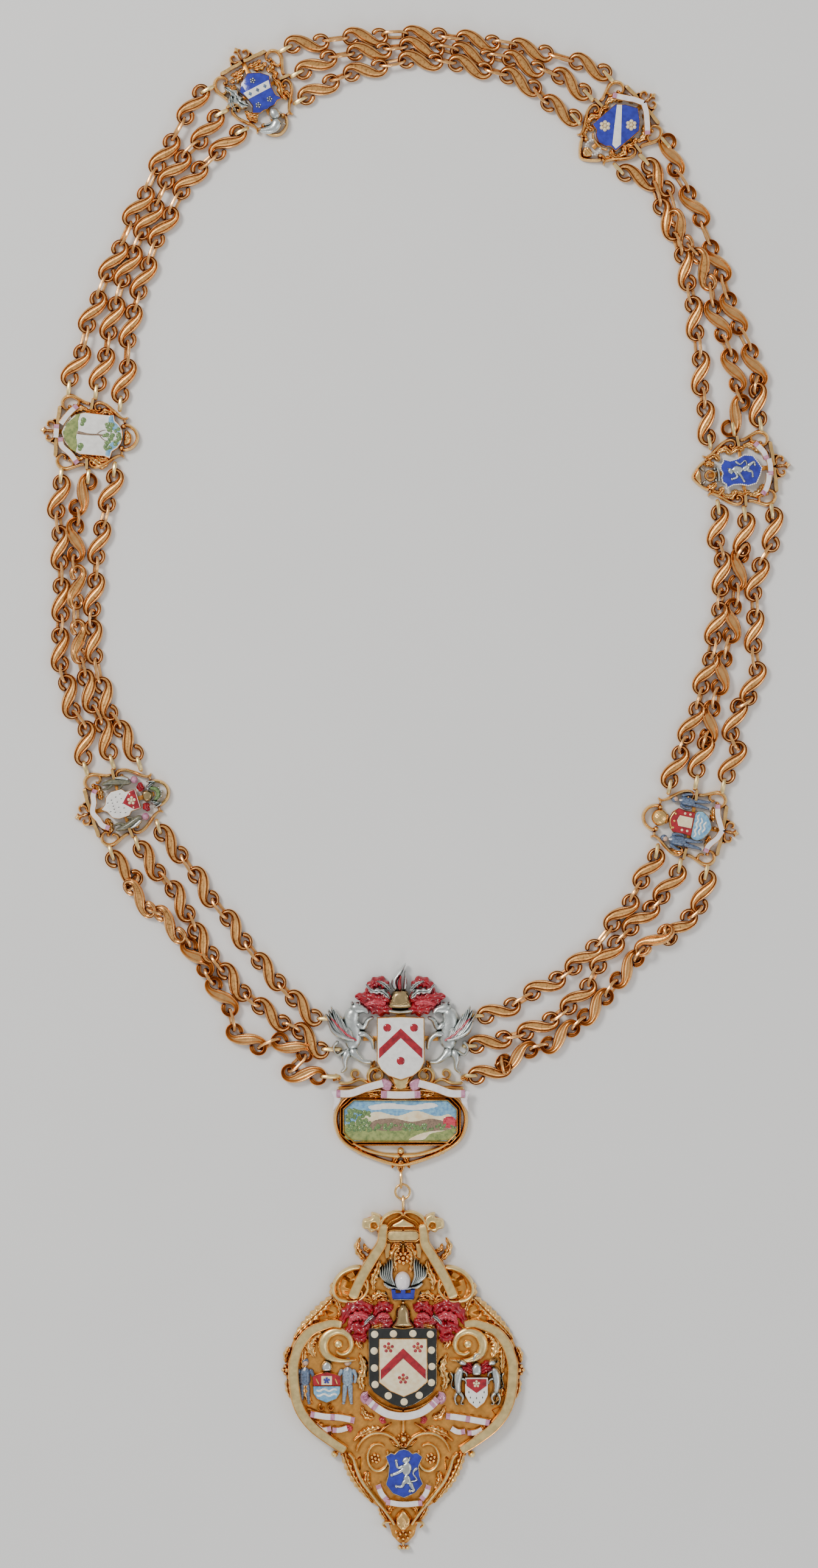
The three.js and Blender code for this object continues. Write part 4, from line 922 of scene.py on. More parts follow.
def left_low(frame_piece, arms, ribbon):
    badge_frame(frame_piece)
    outline = [(-4.1, 7.2), (4, 7.2), (4.2, 3), (5.6, 1.8), (5.7, -2.6), (4.4, -5.2), (1.6, -6.4),
               (0, -8.6), (-1.6, -6.4), (-4.4, -5.2), (-5.9, -2.6), (-5.8, 1.8), (-4.2, 3)]
    shield(arms, "white", outline, 1.7, 3.2, 0.4)
    arms.add("red", slab([(0, 0.6), (3.8, 4.4), (3.8, 6.9), (-3.9, 6.9), (-3.9, 4.4)], 2.6, 3.3,
                         0.15))
    arms.add("cream", *rosette(0, 4.4, 3.15, 1.9, 5),
             rail([(-3.4, 4.4), (-2.4, 4.4)], 0.7, 0.3, 3.2),
             rail([(2.4, 4.4), (3.4, 4.4)], 0.7, 0.3, 3.2))
    for row, y in enumerate((0.6, -1.4, -3.4, -5.2)):
        reach = 4 - 0.7 * row
        for x in np.linspace(-reach, reach, 5 - row % 2 - (2 if row == 3 else 0)):
            arms.add("black", rail([(x, y + 0.45), (x, y - 0.35)], (0.25, 0.5), 0.1, 3.18))
    for s in (-1, 1):
        def side(points):
            return [(s * x, y) for x, y in points]
        arms.add("olive", limb(side([(7.4, 6.6), (8.4, 3), (9.6, -1), (9.8, -5.4)]),
                               (2.4, 3.2, 2.8, 1.4), 1.7, 2.4),
                 limb(side([(8.2, 3.6), (6.6, 2), (6.2, 0.4)]), (1.4, 1, 0.8), 2, 2),
                 limb(side([(8.8, -1), (7.6, -3.4), (7.8, -5.6)]), (1.8, 1.2, 1.1), 1.7, 2))
        arms.add("silver", limb(side([(8.6, 6), (10.2, 3), (10.8, 0.4)]), (1.6, 2, 0.8), 2.6, 1.8))
        arms.add("mauve", dome(s * 7.9, 7.9, 1.7, 1.6, 2.4, 12, 4))
        arms.add("red", leaf(side([(2.6, 10), (4.6, 9.4), (6, 10.4)]), 2.4, 1.8, 1.6, 3))
        arms.add("silver", leaf(side([(2.8, 12), (4, 14), (4.4, 16)]), 1.8, 1.8, 1.8, 3),
                 rail(side([(5.6, 12.4), (5.2, 14.4), (4.4, 16)]), 0.8, 1.4, 2.4))
    arms.add("bronze", relief([(-2, 9.4), (2, 9.4), (2.2, 12), (0, 13.6), (-2.2, 12)], 1.7, 2.4))
    arms.add("green", limb([(-2.8, 13), (-1.2, 15.6), (1.4, 15.4), (2.6, 13.4)],
                           (1.2, 2, 2, 1.2), 2, 2))
    arms.add("silver", *(dome(x, y, 2.6, 0.6, 1.7, 8, 3)
                         for x, y in ((-1.8, 16.6), (0, 17.4), (1.8, 16.6))))
    foliage(frame_piece, "side", "high", "top", "low")
    frame_piece.both("gold", leaf([(4, -7.6), (7, -7.2), (9.4, -7.6), (10.6, -9.4)], 2.2, 1, 1.7,
                                  4))
    banner(ribbon, [(-8.6, -8.4), (-6.6, -10), (-3.6, -10.6), (0, -12.2), (3.6, -10.8),
                    (6.2, -10), (8.2, -7.6)], 2.2, 3.4, 4.4)


def left_middle(frame_piece, arms, ribbon):
    badge_frame(frame_piece)
    outline = [(-8.7, 9.6), (-6.4, 10.2), (-4.8, 12.2), (-2.6, 13.6), (0, 14), (2.6, 13.6),
               (4.8, 12.2), (6.4, 10.2), (9.3, 9.6), (8.5, 7.2), (8.6, -3), (7, -6.8),
               (3.8, -9.8), (0.2, -11.2), (-3.8, -9.8), (-7.4, -6.4), (-8.6, -2.4), (-8.3, 7.2)]
    shield(arms, "white", outline, 1.7, 3.1, 0.4)
    grass = [(-8.3, -3.8), (-5, -4.6), (-2, -4.2), (1.5, -4.8), (5, -4), (8.3, -4.4), (6.8, -6.9),
             (3.7, -9.6), (0.2, -10.9), (-3.8, -9.6), (-7.2, -6.4)]
    arms.add("grass", relief(grass, 3.02, 0.22, 0.8, 0.5, smooth=False))
    for s in (-1, 1):
        arms.add("sky", relief([(s * 8.8, 9.4), (s * 6.2, 9.9), (s * 4.4, 12), (s * 2.2, 13.3),
                                (s * 1.4, 11), (s * 3, 8.8), (s * 5, 7.6), (s * 8.1, 7.4)],
                               3.02, 0.2, 0.6, 0.45, smooth=False))
    chance = random.Random(5)
    tree = [(0, 12.4), (-2.6, 11.4), (2.5, 11.2), (-4, 9.2), (4.2, 9), (0.4, 9.6), (-2.2, 8.4),
            (2.2, 8), (-4.4, 7.4), (4.6, 7.2), (0, 7)]
    for x, y in tree:
        for _ in range(5):
            arms.add("green", dome(x + chance.uniform(-0.9, 0.9), y + chance.uniform(-0.7, 0.7),
                                   3.05, chance.uniform(0.5, 1.1), 0.4, 8, 3))
    arms.add("trunk", rail([(0.3, 8), (0, 4), (0.2, 0), (-0.2, -5)], (0.8, 0.7, 0.9, 1.6), 0.35, 3),
             rail([(0.1, 4.4), (1.6, 6), (2.4, 7.6)], (0.5, 0.4, 0.3), 0.3, 3.02),
             rail([(0.1, 3), (-1.6, 5), (-2.2, 7)], (0.5, 0.4, 0.3), 0.3, 3.02))
    for x, y, r in ((-5.4, -2.6, 1.3), (-3.8, -3, 1), (5.2, -2.8, 1.4), (6.6, -3, 0.9)):
        arms.add("green", dome(x, y, 3, r, 0.4, 10, 3))
    shell = [(-3, 14.6), (-2.6, 16.2), (-1.2, 17.4), (1, 17.6), (2.8, 16.8), (3.4, 15), (2, 14.4)]
    frame_piece.add("gold", relief(shell, 1, 2, 1.4, 0.4,
                                   lambda x, y: 0.3 * np.cos(9 * np.arctan2(y - 13.4, x - 0.2))))
    foliage(frame_piece, "top", "foot")
    frame_piece.add("gold", leaf([(9.4, 1), (11, 3.6), (12.4, 6.4), (11.4, 9)], 3, 1.2, 2, 5, 0.4))
    banner(ribbon, [(-11, -5.6), (-9, -7.6), (-6.4, -9.6), (-3, -11.6)], 2.2, 3.4, 4.4, (0,))
    banner(ribbon, [(2.6, -11.3), (6, -10.4), (9, -6.6), (12.6, -3.4)], 2.2, 3.4, 4.4, (0, 1))
    banner(ribbon, [(-2.6, -13.3), (2.8, -13.2)], 2.2, 3.5, 4.5, (0,))


def left_high(frame_piece, arms, ribbon):
    badge_frame(frame_piece)
    outline = [(-7.3, 7.6), (-5.2, 7.3), (-3.4, 8.6), (-1.4, 8.4), (0, 8.8), (1.4, 8.4),
               (3.4, 8.8), (5.2, 7.9), (6.3, 7.4), (4.7, 4.8), (5.4, 0.6), (6.9, -2.6),
               (4.8, -5.6), (0.4, -8), (-4.2, -5.8), (-6.9, -3), (-5.6, 1.6), (-5.6, 5)]
    shield(arms, "blue", outline, 1.7, 3.2, 0.5)
    arms.add("white", slab([(-5.9, -1.6), (-5.2, 1.6), (5, 1.6), (5.8, -1.6)], 3, 3.4, 0.15))
    for x, y in ((0, 0), (-3.4, 0), (3.4, 0)):
        arms.add("slate", slab([(x, y - 1), (x + 0.8, y), (x, y + 1), (x - 0.8, y)], 3.2, 3.55,
                               0.1))
    for x, y in ((-2.6, 5.6), (2.6, 5.6), (0, -4.4)):
        arms.add("silver", *rosette(x, y, 3.15, 1.3, 5))
    arms.add("silver", limb([(-1.2, 9.4), (-1.6, 12), (-1.2, 14.4)], (5, 5, 4.4), 1.8, 3),
             limb([(-1.6, 14.2), (0.6, 16.6), (3.6, 16.6), (7, 15.2)], (4, 4.4, 3.4, 1.6), 3.2,
                  1.9),
             limb([(-2.8, 16.6), (-3.6, 18)], (1.2, 0.5), 3.4, 1.6),
             limb([(0.6, 14.6), (2.4, 14.6), (4.6, 14)], (1.4, 1.1, 0.6), 3, 1.4))
    arms.add("silver", leaf([(6.6, 4), (9, 1), (9.2, -3), (11.4, -7.4)], 3.4, 1.8, 2.6, 4),
             leaf([(11, -3), (12.2, 0), (12, 3.4)], 2.4, 1.8, 2.2, 3),
             dome(6.2, -7.6, 1.8, 0.8, 2))
    for path, w in (([(-8, -1), (-9, 2), (-8, 6), (-9, 9)], 2.4),
                    ([(4.4, 9), (7, 8), (8.6, 5)], 2.4),
                    ([(-9.4, 5), (-10.6, 8), (-10, 11)], 1.8),
                    ([(5.6, 11), (7.6, 9.6), (9, 7)], 1.8)):
        frame_piece.add("gold", leaf(path, w, 1.2, 2, 3, 0.3))
    for s in (-1, 1):
        for path, w in (([(7, -5), (9.6, -6), (11, -8)], 2.2),
                        ([(2.6, -8.6), (5.6, -8), (8.6, -8.6)], 2.4),
                        ([(1, -10.6), (3.6, -10), (7, -10.6)], 2),
                        ([(8, -1), (9.6, -3), (8.6, -5)], 2)):
            frame_piece.add("gold", leaf([(s * x, y) for x, y in path], w, 1, 1.9, 3, 0.3))


def right_high(frame_piece, arms, ribbon):
    badge_frame(frame_piece, "pointed")
    outline = [(-7.2, 8), (-4.4, 8.2), (-3, 9.8), (0, 10.9), (3, 9.8), (4.4, 8.2), (7.3, 8),
               (7.3, -4.6), (4.6, -7.4), (0, -10.4), (-4.6, -7.4), (-7.3, -4.6)]
    shield(arms, "blue", outline, 1.7, 3.2, 0.5)
    arms.add("white", slab([(-6.6, 7.4), (-6.6, 4.6), (5.4, -6.4), (6.8, -4.8), (-4.4, 7.4)],
                           3.1, 3.4, 0.12))
    for x, y in ((3.4, 4.6), (-3.4, -3.8)):
        arms.add("cream", *rosette(x, y, 3.15, 2.4, 6))
    beads = arc(0, 14, 3, -40, 220, 1.1)
    arms.add("white", *(dome(x, y, 1.6, 0.62, 2, 8, 3) for x, y in beads))
    arms.add("gold", relief([(-2.4, 17), (-1.2, 19), (0, 19.6), (1.2, 19), (2.4, 17), (1.4, 15.4),
                             (-1.4, 15.4)], 1.8, 2.2, 1, 0.4,
                            lambda x, y: 0.25 * np.cos(4.4 * y)),
             rail([(-4.6, 10), (-2.6, 11.4), (0, 11.8), (2.6, 11.4), (4.6, 10)], 1.2, 1.4, 2))
    foliage(frame_piece)
    frame_piece.both("gold", leaf([(7.4, 10.6), (9.6, 9.6), (9, 7.6)], 2, 1.4, 1.8, 3))
    banner(ribbon, [(-10.8, -6.2), (-7, -9.2), (-3.4, -11.8), (-0.1, -13.4)], 2.3, 3.4, 4.4, (0,))
    banner(ribbon, [(0.1, -13.4), (3.4, -11.6), (7, -8.8), (10.8, -6)], 2.3, 3.4, 4.4, (1,))


def right_middle(frame_piece, arms, ribbon):
    badge_frame(frame_piece, "pointed")
    outline = [(-6.3, 7.4), (-4.8, 7.2), (-3.6, 8.6), (-1.8, 8.8), (0, 8), (1.8, 8.8), (3.6, 8.4),
               (4.4, 7.4), (5.6, 7), (4.6, 4.4), (5, 1.4), (6.3, -1.6), (5.6, -5), (2.6, -6.8),
               (0.2, -8), (-2.6, -7), (-5.8, -5), (-6.4, -1.6), (-5.4, 1.4), (-5.2, 4.4)]
    shield(arms, "blue", outline, 1.7, 3.2, 0.5, "white")
    edge = turned_ccw(even(outline, 0.85, True))
    arms.add("white", *(dome(x, y, 3, 0.36, 0.45, 8, 3) for x, y in edge))
    arms.add("silver", *lion(-0.4, -5.6, 3.1, 0.75, 0.78))
    arms.add("gold", sweep(arc(-0.2, 13.4, 1.9, 0, 360, 0.5)[:-1], 1.2, 2.2, 1.9, closed=True),
             relief([(-3.6, 17.6), (-1.6, 19.4), (0, 20), (1.8, 19.2), (3.4, 17.6), (0, 17)],
                    1.6, 2.2, 0.9, 0.4))
    arms.add("silver", rail([(-2, 15.4), (-3.4, 17)], 1.2, 1.8, 2),
             rail([(1.8, 15.4), (3.6, 17)], 1.2, 1.8, 2),
             rail([(-3.4, 10.2), (0, 9.9), (3.2, 10.2)], 1.2, 1.5, 2.2),
             dome(-2.4, 11.3, 2, 0.8, 1.6), dome(2.2, 11.3, 2, 0.8, 1.6))
    foliage(frame_piece)
    frame_piece.both("gold", leaf([(3.4, 11.4), (5, 13.4), (4.6, 15.6)], 2.2, 1.4, 1.8, 3))
    banner(ribbon, [(-10.8, -6.8), (-8.6, -8.6), (-5.4, -10), (-2.6, -10.6)], 2.3, 3.5, 4.5, (0,))
    banner(ribbon, [(-3.4, -11.2), (0, -11.5), (3.4, -11.3)], 2.2, 3.4, 4.4, (0,))
    banner(ribbon, [(3.2, -10.4), (6.2, -9.6), (8.6, -8), (10.6, -6.4)], 2.3, 3.5, 4.5, (0, 1))


def right_low(frame_piece, arms, ribbon):
    badge_frame(frame_piece)
    lower = [(-4.9, -0.7), (4.9, -0.7), (6, -1.6), (6.2, -3.6), (4.6, -6.2), (2, -7.8), (0.2, -8.4),
             (-2, -7.6), (-4.8, -5.8), (-6, -3.6), (-5.8, -1.8)]
    upper = [(-4.6, -0.6), (-4.2, 3), (-4.3, 7), (-2.8, 8.4), (0.4, 9.4), (3.6, 8.6), (5.6, 6.4),
             (5, 3), (5.2, -0.6)]
    shield(arms, "sky", lower, 1.7, 3.2, 0.4)
    for y in (-2.2, -3.8, -5.4):
        reach = 5 - abs(y + 2) * 0.75
        wave = [(x, y + 0.35 * math.sin(2.2 * x)) for x in np.linspace(-reach, reach, 14)]
        arms.add("white", rail(wave, 0.75, 0.25, 3.15))
    shield(arms, "red", upper, 1.7, 3.3, 0.4)
    arms.add("cream", slab([(-1.6, -0.2), (2.8, -0.2), (2.9, 5.4), (0.6, 6.2), (-1.5, 5.2)], 3.2,
                           3.6, 0.2))
    arms.add("gold", rail([(-3.4, 7.6), (0.4, 9), (4.2, 7.6)], 0.7, 0.5, 3.2),
             *(dome(x, 7.2, 3.3, 0.6, 0.5, 8, 3) for x in (-2.6, 0.2, 3.2)))
    for x in (-2.9, 4):
        arms.add("cream", *(dome(x, y, 3.3, 0.55, 0.35, 8, 3) for y in (1.2, 3.4)))
    arms.add("gold", relief(arc(0.4, 13.2, 3.5, 0, 345, 1.6).tolist(), 1.8, 2.8, 3.4, 0.4,
                            lambda x, y: 0.12 * np.sin(4 * x + 1.5 * y) * np.sin(4 * y)),
             rail([(-1.6, 10.2), (2.4, 10.2)], 1, 1.6, 1.9))
    person(arms, -7.6, -6.2, 1.7, 1.06, "slate", -1)
    person(arms, 9, -6.2, 1.7, 0.98, "slate", 1)
    frame_piece.both("gold", leaf([(3, -8.4), (6, -7.8), (9, -7.4)], 1.8, 1.2, 1.8, 4))
    frame_piece.add("gold", leaf([(-11.6, 1), (-12, 4), (-11.6, 7.4)], 2.4, 1.2, 2, 4),
                    dome(0.4, -9.9, 1.2, 0.9, 2))
    banner(ribbon, [(-10, -7.8), (-7, -8.6), (-3.4, -11.4), (0, -12.8)], 2.2, 3.4, 4.4, (0,))
    banner(ribbon, [(0, -12.8), (3.4, -11), (6.6, -9.6), (10.2, -9)], 2.2, 3.4, 4.4, (1,))


MAKERS = {
    "left_low": left_low, "left_middle": left_middle, "left_high": left_high,
    "right_high": right_high, "right_middle": right_middle, "right_low": right_low,
}
for name, make in MAKERS.items():
    place = badge_place(name)
    pieces = [Piece(f"badge_{name}_{part}", [f"badge_{name}_{part}"], place)
              for part in ("frame", "arms", "ribbon")]
    make(*pieces)
    for piece in pieces:
        piece.build()


# ---- The pendant ------------------------------------------------------------------------------

# Half of the outline, on the right side, and the openings that go right through.
PENDANT_OUTLINE = [
    (0, 65.2), (3.6, 65.4), (6.4, 63.8), (8, 61.4), (9.4, 63.8), (12.8, 64.8), (13, 63),
    (16.2, 62), (16.8, 58.8), (14.6, 57.6), (13.2, 56.4), (11, 57.4), (10, 54), (12, 49.8),
    (15, 46.4), (17.4, 48.8), (18.4, 52.2), (19.2, 50), (16.4, 45.4), (16.8, 43), (20.4, 42.2),
    (25.4, 40), (28.4, 36.4), (29.5, 30.4), (34.4, 23.7), (40.2, 17.7), (44.8, 13.2),
    (46.8, 8), (48, 3.4), (48, -3), (47.4, -6), (46, -12), (42.8, -18), (36.8, -24.6),
    (31.4, -29), (26.6, -32.2), (25.2, -36.2), (22.4, -43.4), (17.4, -50.2), (12.4, -54.8),
    (9.4, -56.8), (6.4, -61.6), (5.4, -64.6), (4.6, -68), (1.8, -71), (0, -71.6),
]
PENDANT_GAPS = [
    [(17.8, 40.4), (21.4, 40), (24.8, 37.6), (26, 34), (25, 30.6), (23.6, 29.4), (21.6, 33),
     (19.6, 37)],
    [(26.4, 25.4), (28.6, 28.4), (31.6, 24.4), (30.6, 22), (27.4, 21.4)],
    [(36.8, -16.6), (39.6, -15.4), (38.6, -18.8)],
    [(17.6, -36), (19.4, -37.4), (18, -41)],
    [(14.8, 2.6), (16.4, 5.2), (16.4, 0.4)],
]
SIDE_BAND = [(24.8, 18.8), (29, 19.5), (32.6, 18.6), (37, 16.8), (40, 14.2), (42.6, 10.4),
             (44.2, 6), (45, 2), (45, -2), (44.6, -7), (43.8, -12), (42.4, -15.8), (40.6, -19),
             (38, -22.2), (35, -25), (29, -29.4), (23.4, -33)]
NECK_BAND = [(7.6, 60.4), (8.4, 56.6), (9, 52), (12.4, 46.4), (16.4, 39.6), (19.4, 33.4),
             (21, 29.4)]


def flat_band(piece, path, width, top):
    """A wide strip of gold, lightened as a painted highlight, between two thin raised edges."""
    line = spline(path, 0.6)
    tangent = np.gradient(line, axis=0)
    tangent /= np.linalg.norm(tangent, axis=1)[:, None]
    side = np.stack([-tangent[:, 1], tangent[:, 0]], 1)
    wide = along(width, len(line))[:, None]
    piece.both("bright", sweep(line, width, top - 1.6, 1.4, FLAT))
    for s in (-1, 1):
        piece.both("gold", sweep(line + side * s * (wide / 2 - 0.25), 0.75, top - 1.2, 1.4))


frame_piece = Piece("pendant_frame", ["pendant_frame"], PENDANT)
ground_line = [*flip(PENDANT_OUTLINE)[1:][::-1], *PENDANT_OUTLINE[:-1]]
gaps = [g for gap in PENDANT_GAPS for g in (gap, flip(gap))]
# The ground under the openwork, in gold darkened as painted shade.
frame_piece.add("recess_shade", relief(
    ground_line, 1.3, 0.7, 0.9, 0.8,
    lambda x, y: 0.16 * np.cos(1.9 * x + 0.8 * np.sin(0.8 * y)) * np.cos(1.6 * y), False,
    gaps, 0.0))
flat_band(frame_piece, NECK_BAND, (3.6, 4.4, 4.4, 4.6), 5)
flat_band(frame_piece, SIDE_BAND, (3.4, 4.4, 4.4, 4.4, 3.8), 5)

# The cap over the arch, its shoulder scrolls, and the bare plaque.
frame_piece.both(
    "bright",
    relief([(9.5, 57), (8.4, 61), (9.6, 63.8), (13, 64.9), (13.2, 62.8), (16.4, 62),
            (16.8, 58.6), (14.6, 57.7), (13.2, 56.4), (11, 57.3)], 1.9, 2.7, 1.2, 0.45,
           holes=[[(10.9, 59.2), (11.6, 60.4), (12.8, 60.2), (12.9, 58.9), (11.8, 58.5)]]),
    rail([(9.6, 58.4), (8.6, 61.6), (6.6, 63.6), (3.6, 65), (1, 64.8), (0, 63.2)],
         (1.8, 1.9, 1.6, 1.2), 3, 2),
    rail([(7.6, 55.3), (5.4, 57.5), (0, 57.6)], 0.8, 2.7, 1.9),
    rail([(7.6, 55.3), (5.4, 53.1), (0, 53)], 0.8, 2.7, 1.9),
)
frame_piece.add("bright",
                slab([(-7.4, 55.3), (-5.4, 57.3), (5.4, 57.3), (7.4, 55.3), (5.4, 53.3),
                      (-5.4, 53.3)], 1.9, 4.1, 0.4),
                relief([(-5.6, 58.4), (-4.6, 60.2), (-1.8, 61.6), (0, 62.9), (1.8, 61.6),
                        (4.6, 60.2), (5.6, 58.4)], 1.9, 1.9, 1.1, 0.45, None, False))
frame_piece.both("gold", rail([(7, 58.6), (5.2, 61.2), (2.4, 62.6), (0, 64.2)], (0.8, 1), 2.8, 1.9),
                 slab([(5.2, 52.2), (8, 52.2), (7.2, 45.8), (5.6, 46.4)], 1.8, 3.4, 0.4),
                 leaf([(1.4, 50.8), (3.6, 48.8), (4.2, 45), (3, 40.4)], 3.4, 1.9, 2.4, 5, 0.3),
                 leaf([(0.6, 51.8), (3.4, 51.6), (5, 49.8)], 1.8, 2, 2, 3),
                 leaf([(9.8, 45), (10.6, 41), (12.4, 37), (12, 32.6)], 3, 1.9, 1.9, 5, 0.3),
                 leaf([(15.6, 45.4), (18, 48), (19, 51), (17.6, 54.6)], 2.2, 1.3, 2, 4, 0.4),
                 leaf([(13.2, 48.6), (15.4, 49.6), (16, 52)], 1.7, 1.2, 1.8, 3))
frame_piece.add("gold", *rosette(0, 46, 2, 3.1, 7))
# A strip down the middle under the plaque, in gold darkened as painted shade.
frame_piece.add("recess_shade", rail([(0, 52), (0, 48)], 1.2, 2, 1.9))

# The open rings at the shoulders, with their curls.
frame_piece.both(
    "bright",
    rail([(16.8, 42.2), (20.6, 41.9), (25, 39.8), (28, 36), (28.5, 32), (26.4, 29.2),
          (22.2, 28.2)], (2.4, 2.2, 2, 2.2, 2.4), 3, 1.6),
    rail(arc(21, 34.6, 6.4, 150, 300), (1.6, 1.9, 1.2), 2.6, 1.8),
    limb([(22, 37), (18.8, 37.4), (16.2, 36), (14.6, 33)], (0.8, 2, 1.9, 0.8), 2, 2.6),
    rail(arc(19, 31.4, 2.5, 80, 380, r1=1.1), (0.9, 1.3, 1), 2.4, 2),
    dome(19, 31.4, 2.2, 1.1, 2),
)
frame_piece.both("gold", leaf([(28.8, 36), (28.6, 31.6), (27, 28), (25.8, 24.4), (26.4, 21.6)],
                              2.6, 1.6, 2.4, 6),
                 leaf([(29.2, 29.6), (33.2, 25.4), (37.4, 21.2), (41.6, 17), (45, 12.8)], 3.6,
                      1.5, 2.6, 8, 0.2),
                 leaf([(46.6, 9.6), (48.2, 6), (48.4, 3)], 2, 1.4, 2.2, 3),
                 leaf([(47.6, -4), (47.2, -8), (46, -12)], 2, 1.4, 2.2, 3),
                 rail([(13, 28.4), (14.6, 30.6), (17.4, 29.6), (20, 27.4), (23, 25.4)],
                      (1.1, 1.4, 1.2, 1), 1.9, 1.9))

# Comma scrolls and leaf swirls on each side of the shield.
frame_piece.both(
    "bright",
    rail([(19, 4.5), (22.6, 4), (27, 4.2), (31.4, 6.2), (33, 10.4), (31.2, 14.6), (26.8, 16.4),
          (22.6, 14.4), (21.2, 10.6), (22.4, 7.6), (25.2, 6.6), (27.6, 7.8)],
         (0.9, 2, 3.2, 4.2, 4.6, 4.2, 3.4, 2.6, 1.9, 1.4), 2.6, 1.9),
    dome(26.6, 10.6, 1.9, 1.9, 1.6, 16, 4),
)
frame_piece.both(
    "gold",
    leaf([(33.6, 15.4), (37, 14), (38.6, 10), (36.4, 5.4)], 4.2, 1.9, 1.8, 6, 0.3),
    leaf([(40.8, 9), (41, 4), (40.6, -1.4)], 2.6, 1.9, 1.6, 5),
    leaf([(16.4, -8.4), (17.6, -4), (16.2, 0.6), (18, 7)], 3, 1.9, 1.8, 6),
    leaf([(16.8, 9), (18.6, 11.6), (18, 15.6)], 2.4, 1.9, 1.7, 4),
    leaf([(40.2, -5), (39.8, -10), (37.4, -14)], 2.4, 1.9, 1.5, 5),
    leaf([(12, -19.6), (15.6, -18.4), (17, -14.6)], 2.6, 1.9, 1.7, 4),
    leaf([(36.4, -20.6), (32.6, -24.6), (28.6, -27.2)], 2.4, 1.9, 1.5, 5),
    leaf([(18.4, -27), (14, -25), (9.4, -23.4)], 3, 1.9, 1.8, 5),
    leaf([(6.6, 30.4), (9.4, 31.4), (12, 29.8), (13.8, 27.4)], 2.6, 2, 2, 4),
    leaf([(5.6, 28.4), (8.4, 29.2), (10.8, 28)], 1.8, 2.2, 2.2, 3),
    rail([(14.8, -8.8), (10.4, -12.8), (5, -15.5), (0, -16.5)], (0.9, 1.2, 1.2), 3, 1.9),
    rail([(4.6, -21.6), (7.4, -23.4), (11, -26), (16.8, -26.4), (20.4, -29)], (1, 1.4, 1.2),
         2, 1.9),
)
for s in (-1, 1):
    frame_piece.add("gold", dome(s * 47.6, 0, 1.4, 1.3, 2.6),
                    *(dome(s * 47.6 + 1.7 * math.cos(k), 1.7 * math.sin(k), 1.4, 0.95, 1.8, 8, 3)
                      for k in np.arange(0, 6.2, math.pi / 3)))

# The foot: a beaded rosette, the volutes, strips, and the leafy tip with its knob; the parts in the
# lighter gold carry a painted highlight.
frame_piece.add("bright", rail([(0, -17), (0, -21), (0, -26)], (2, 1.2, 1.6), 2.4, 1.9),
                dome(0.2, -28.2, 2, 1.5, 2.2),
                *(dome(0.2 + 2.2 * math.cos(k), -28.2 + 2.2 * math.sin(k), 2, 0.55, 1.7, 8, 3)
                  for k in np.arange(0, 6.2, math.pi / 5)))
frame_piece.both(
    "bright",
    rail(arc(10, -34.8, 9.2, 8, 158), (1, 1.7, 1.8, 1.5), 2.8, 1.9),
    rail(np.stack([10.3 + 4.3 * np.cos(np.linspace(2.6, 8.5, 30)),
                   -35.8 + 5.6 * np.sin(np.linspace(2.6, 8.5, 30))], 1), (1.2, 1.6, 1.4, 0.9),
         1.9, 1.9),
    rail([(22.6, -33.6), (20.4, -36.4), (19.2, -40.4), (16.8, -45.6), (12.6, -51), (7.8, -57),
          (3.2, -63.6)], (1.4, 1.9, 1.8, 1.8, 1.5), 3, 1.8),
    rail([(4.6, -62.4), (7, -62.4), (8.3, -63.6), (6.8, -64.8)], (1, 1.3, 0.8), 2.6, 1.4),
    dome(28.2, -34.6, 1.4, 1.5, 2.8),
)
frame_piece.both(
    "gold",
    *rosette(11.4, -36.3, 2, 2.4),
    rail([(25.8, -32.8), (28.2, -34.6)], (1.2, 0.9), 2, 1.2),
    leaf([(24.8, -33), (22.6, -39.4), (18.8, -46.6), (12.6, -54.6)], 2.8, 1.4, 2.2, 9),
    leaf([(9.8, -56.2), (8.2, -59.6), (6, -62.6)], 2, 1.4, 2.2, 4),
    leaf([(2, -54.8), (4.8, -56.2), (6, -59.4)], 2.2, 1.9, 2.2, 4, 0.4),
    leaf([(14.6, -41.6), (15, -45.6), (12.8, -49)], 2.4, 1.9, 1.8, 4),
    leaf([(0, -31.6), (3, -30.4), (5.6, -28.4)], 1.8, 1.9, 1.8, 3),
)
frame_piece.add("gold", relief([(0, -57), (2.4, -59), (3.5, -61), (2.6, -64), (0, -66.4),
                                (-2.6, -64), (-3.5, -61), (-2.4, -59)], 1.9, 2.8, 1.8, 0.45,
                               lambda x, y: 0.4 * np.cos(2.2 * np.abs(x) + 0.8 * y)),
                *(dome(x, y, 1.8, 0.85, 1.8 - 0.1 * abs(x), 8, 3) for x, y in (
                    (-2.8, -66.6), (-1.1, -67.4), (1.1, -67.4), (2.8, -66.6), (-1.9, -68.9),
                    (0, -69.3), (1.9, -68.9), (0, -66.2))),
                rail([(0, -70), (0.1, -72.6)], (1.5, 1), 2.4, 0.8))
frame_piece.add("bright", *(dome(x, -73, 0.9, 1.05, 2.4) for x in (-1.4, 0.2, 1.8)))
turns = np.linspace(0, 2 * math.pi, 28, endpoint=False)
frame_piece.add("gold", tube([(0, 68.2 + 3.1 * math.cos(t), 1.9 + 1.35 * math.sin(t))
                              for t in turns], 0.55, 8, True))
frame_piece.build()

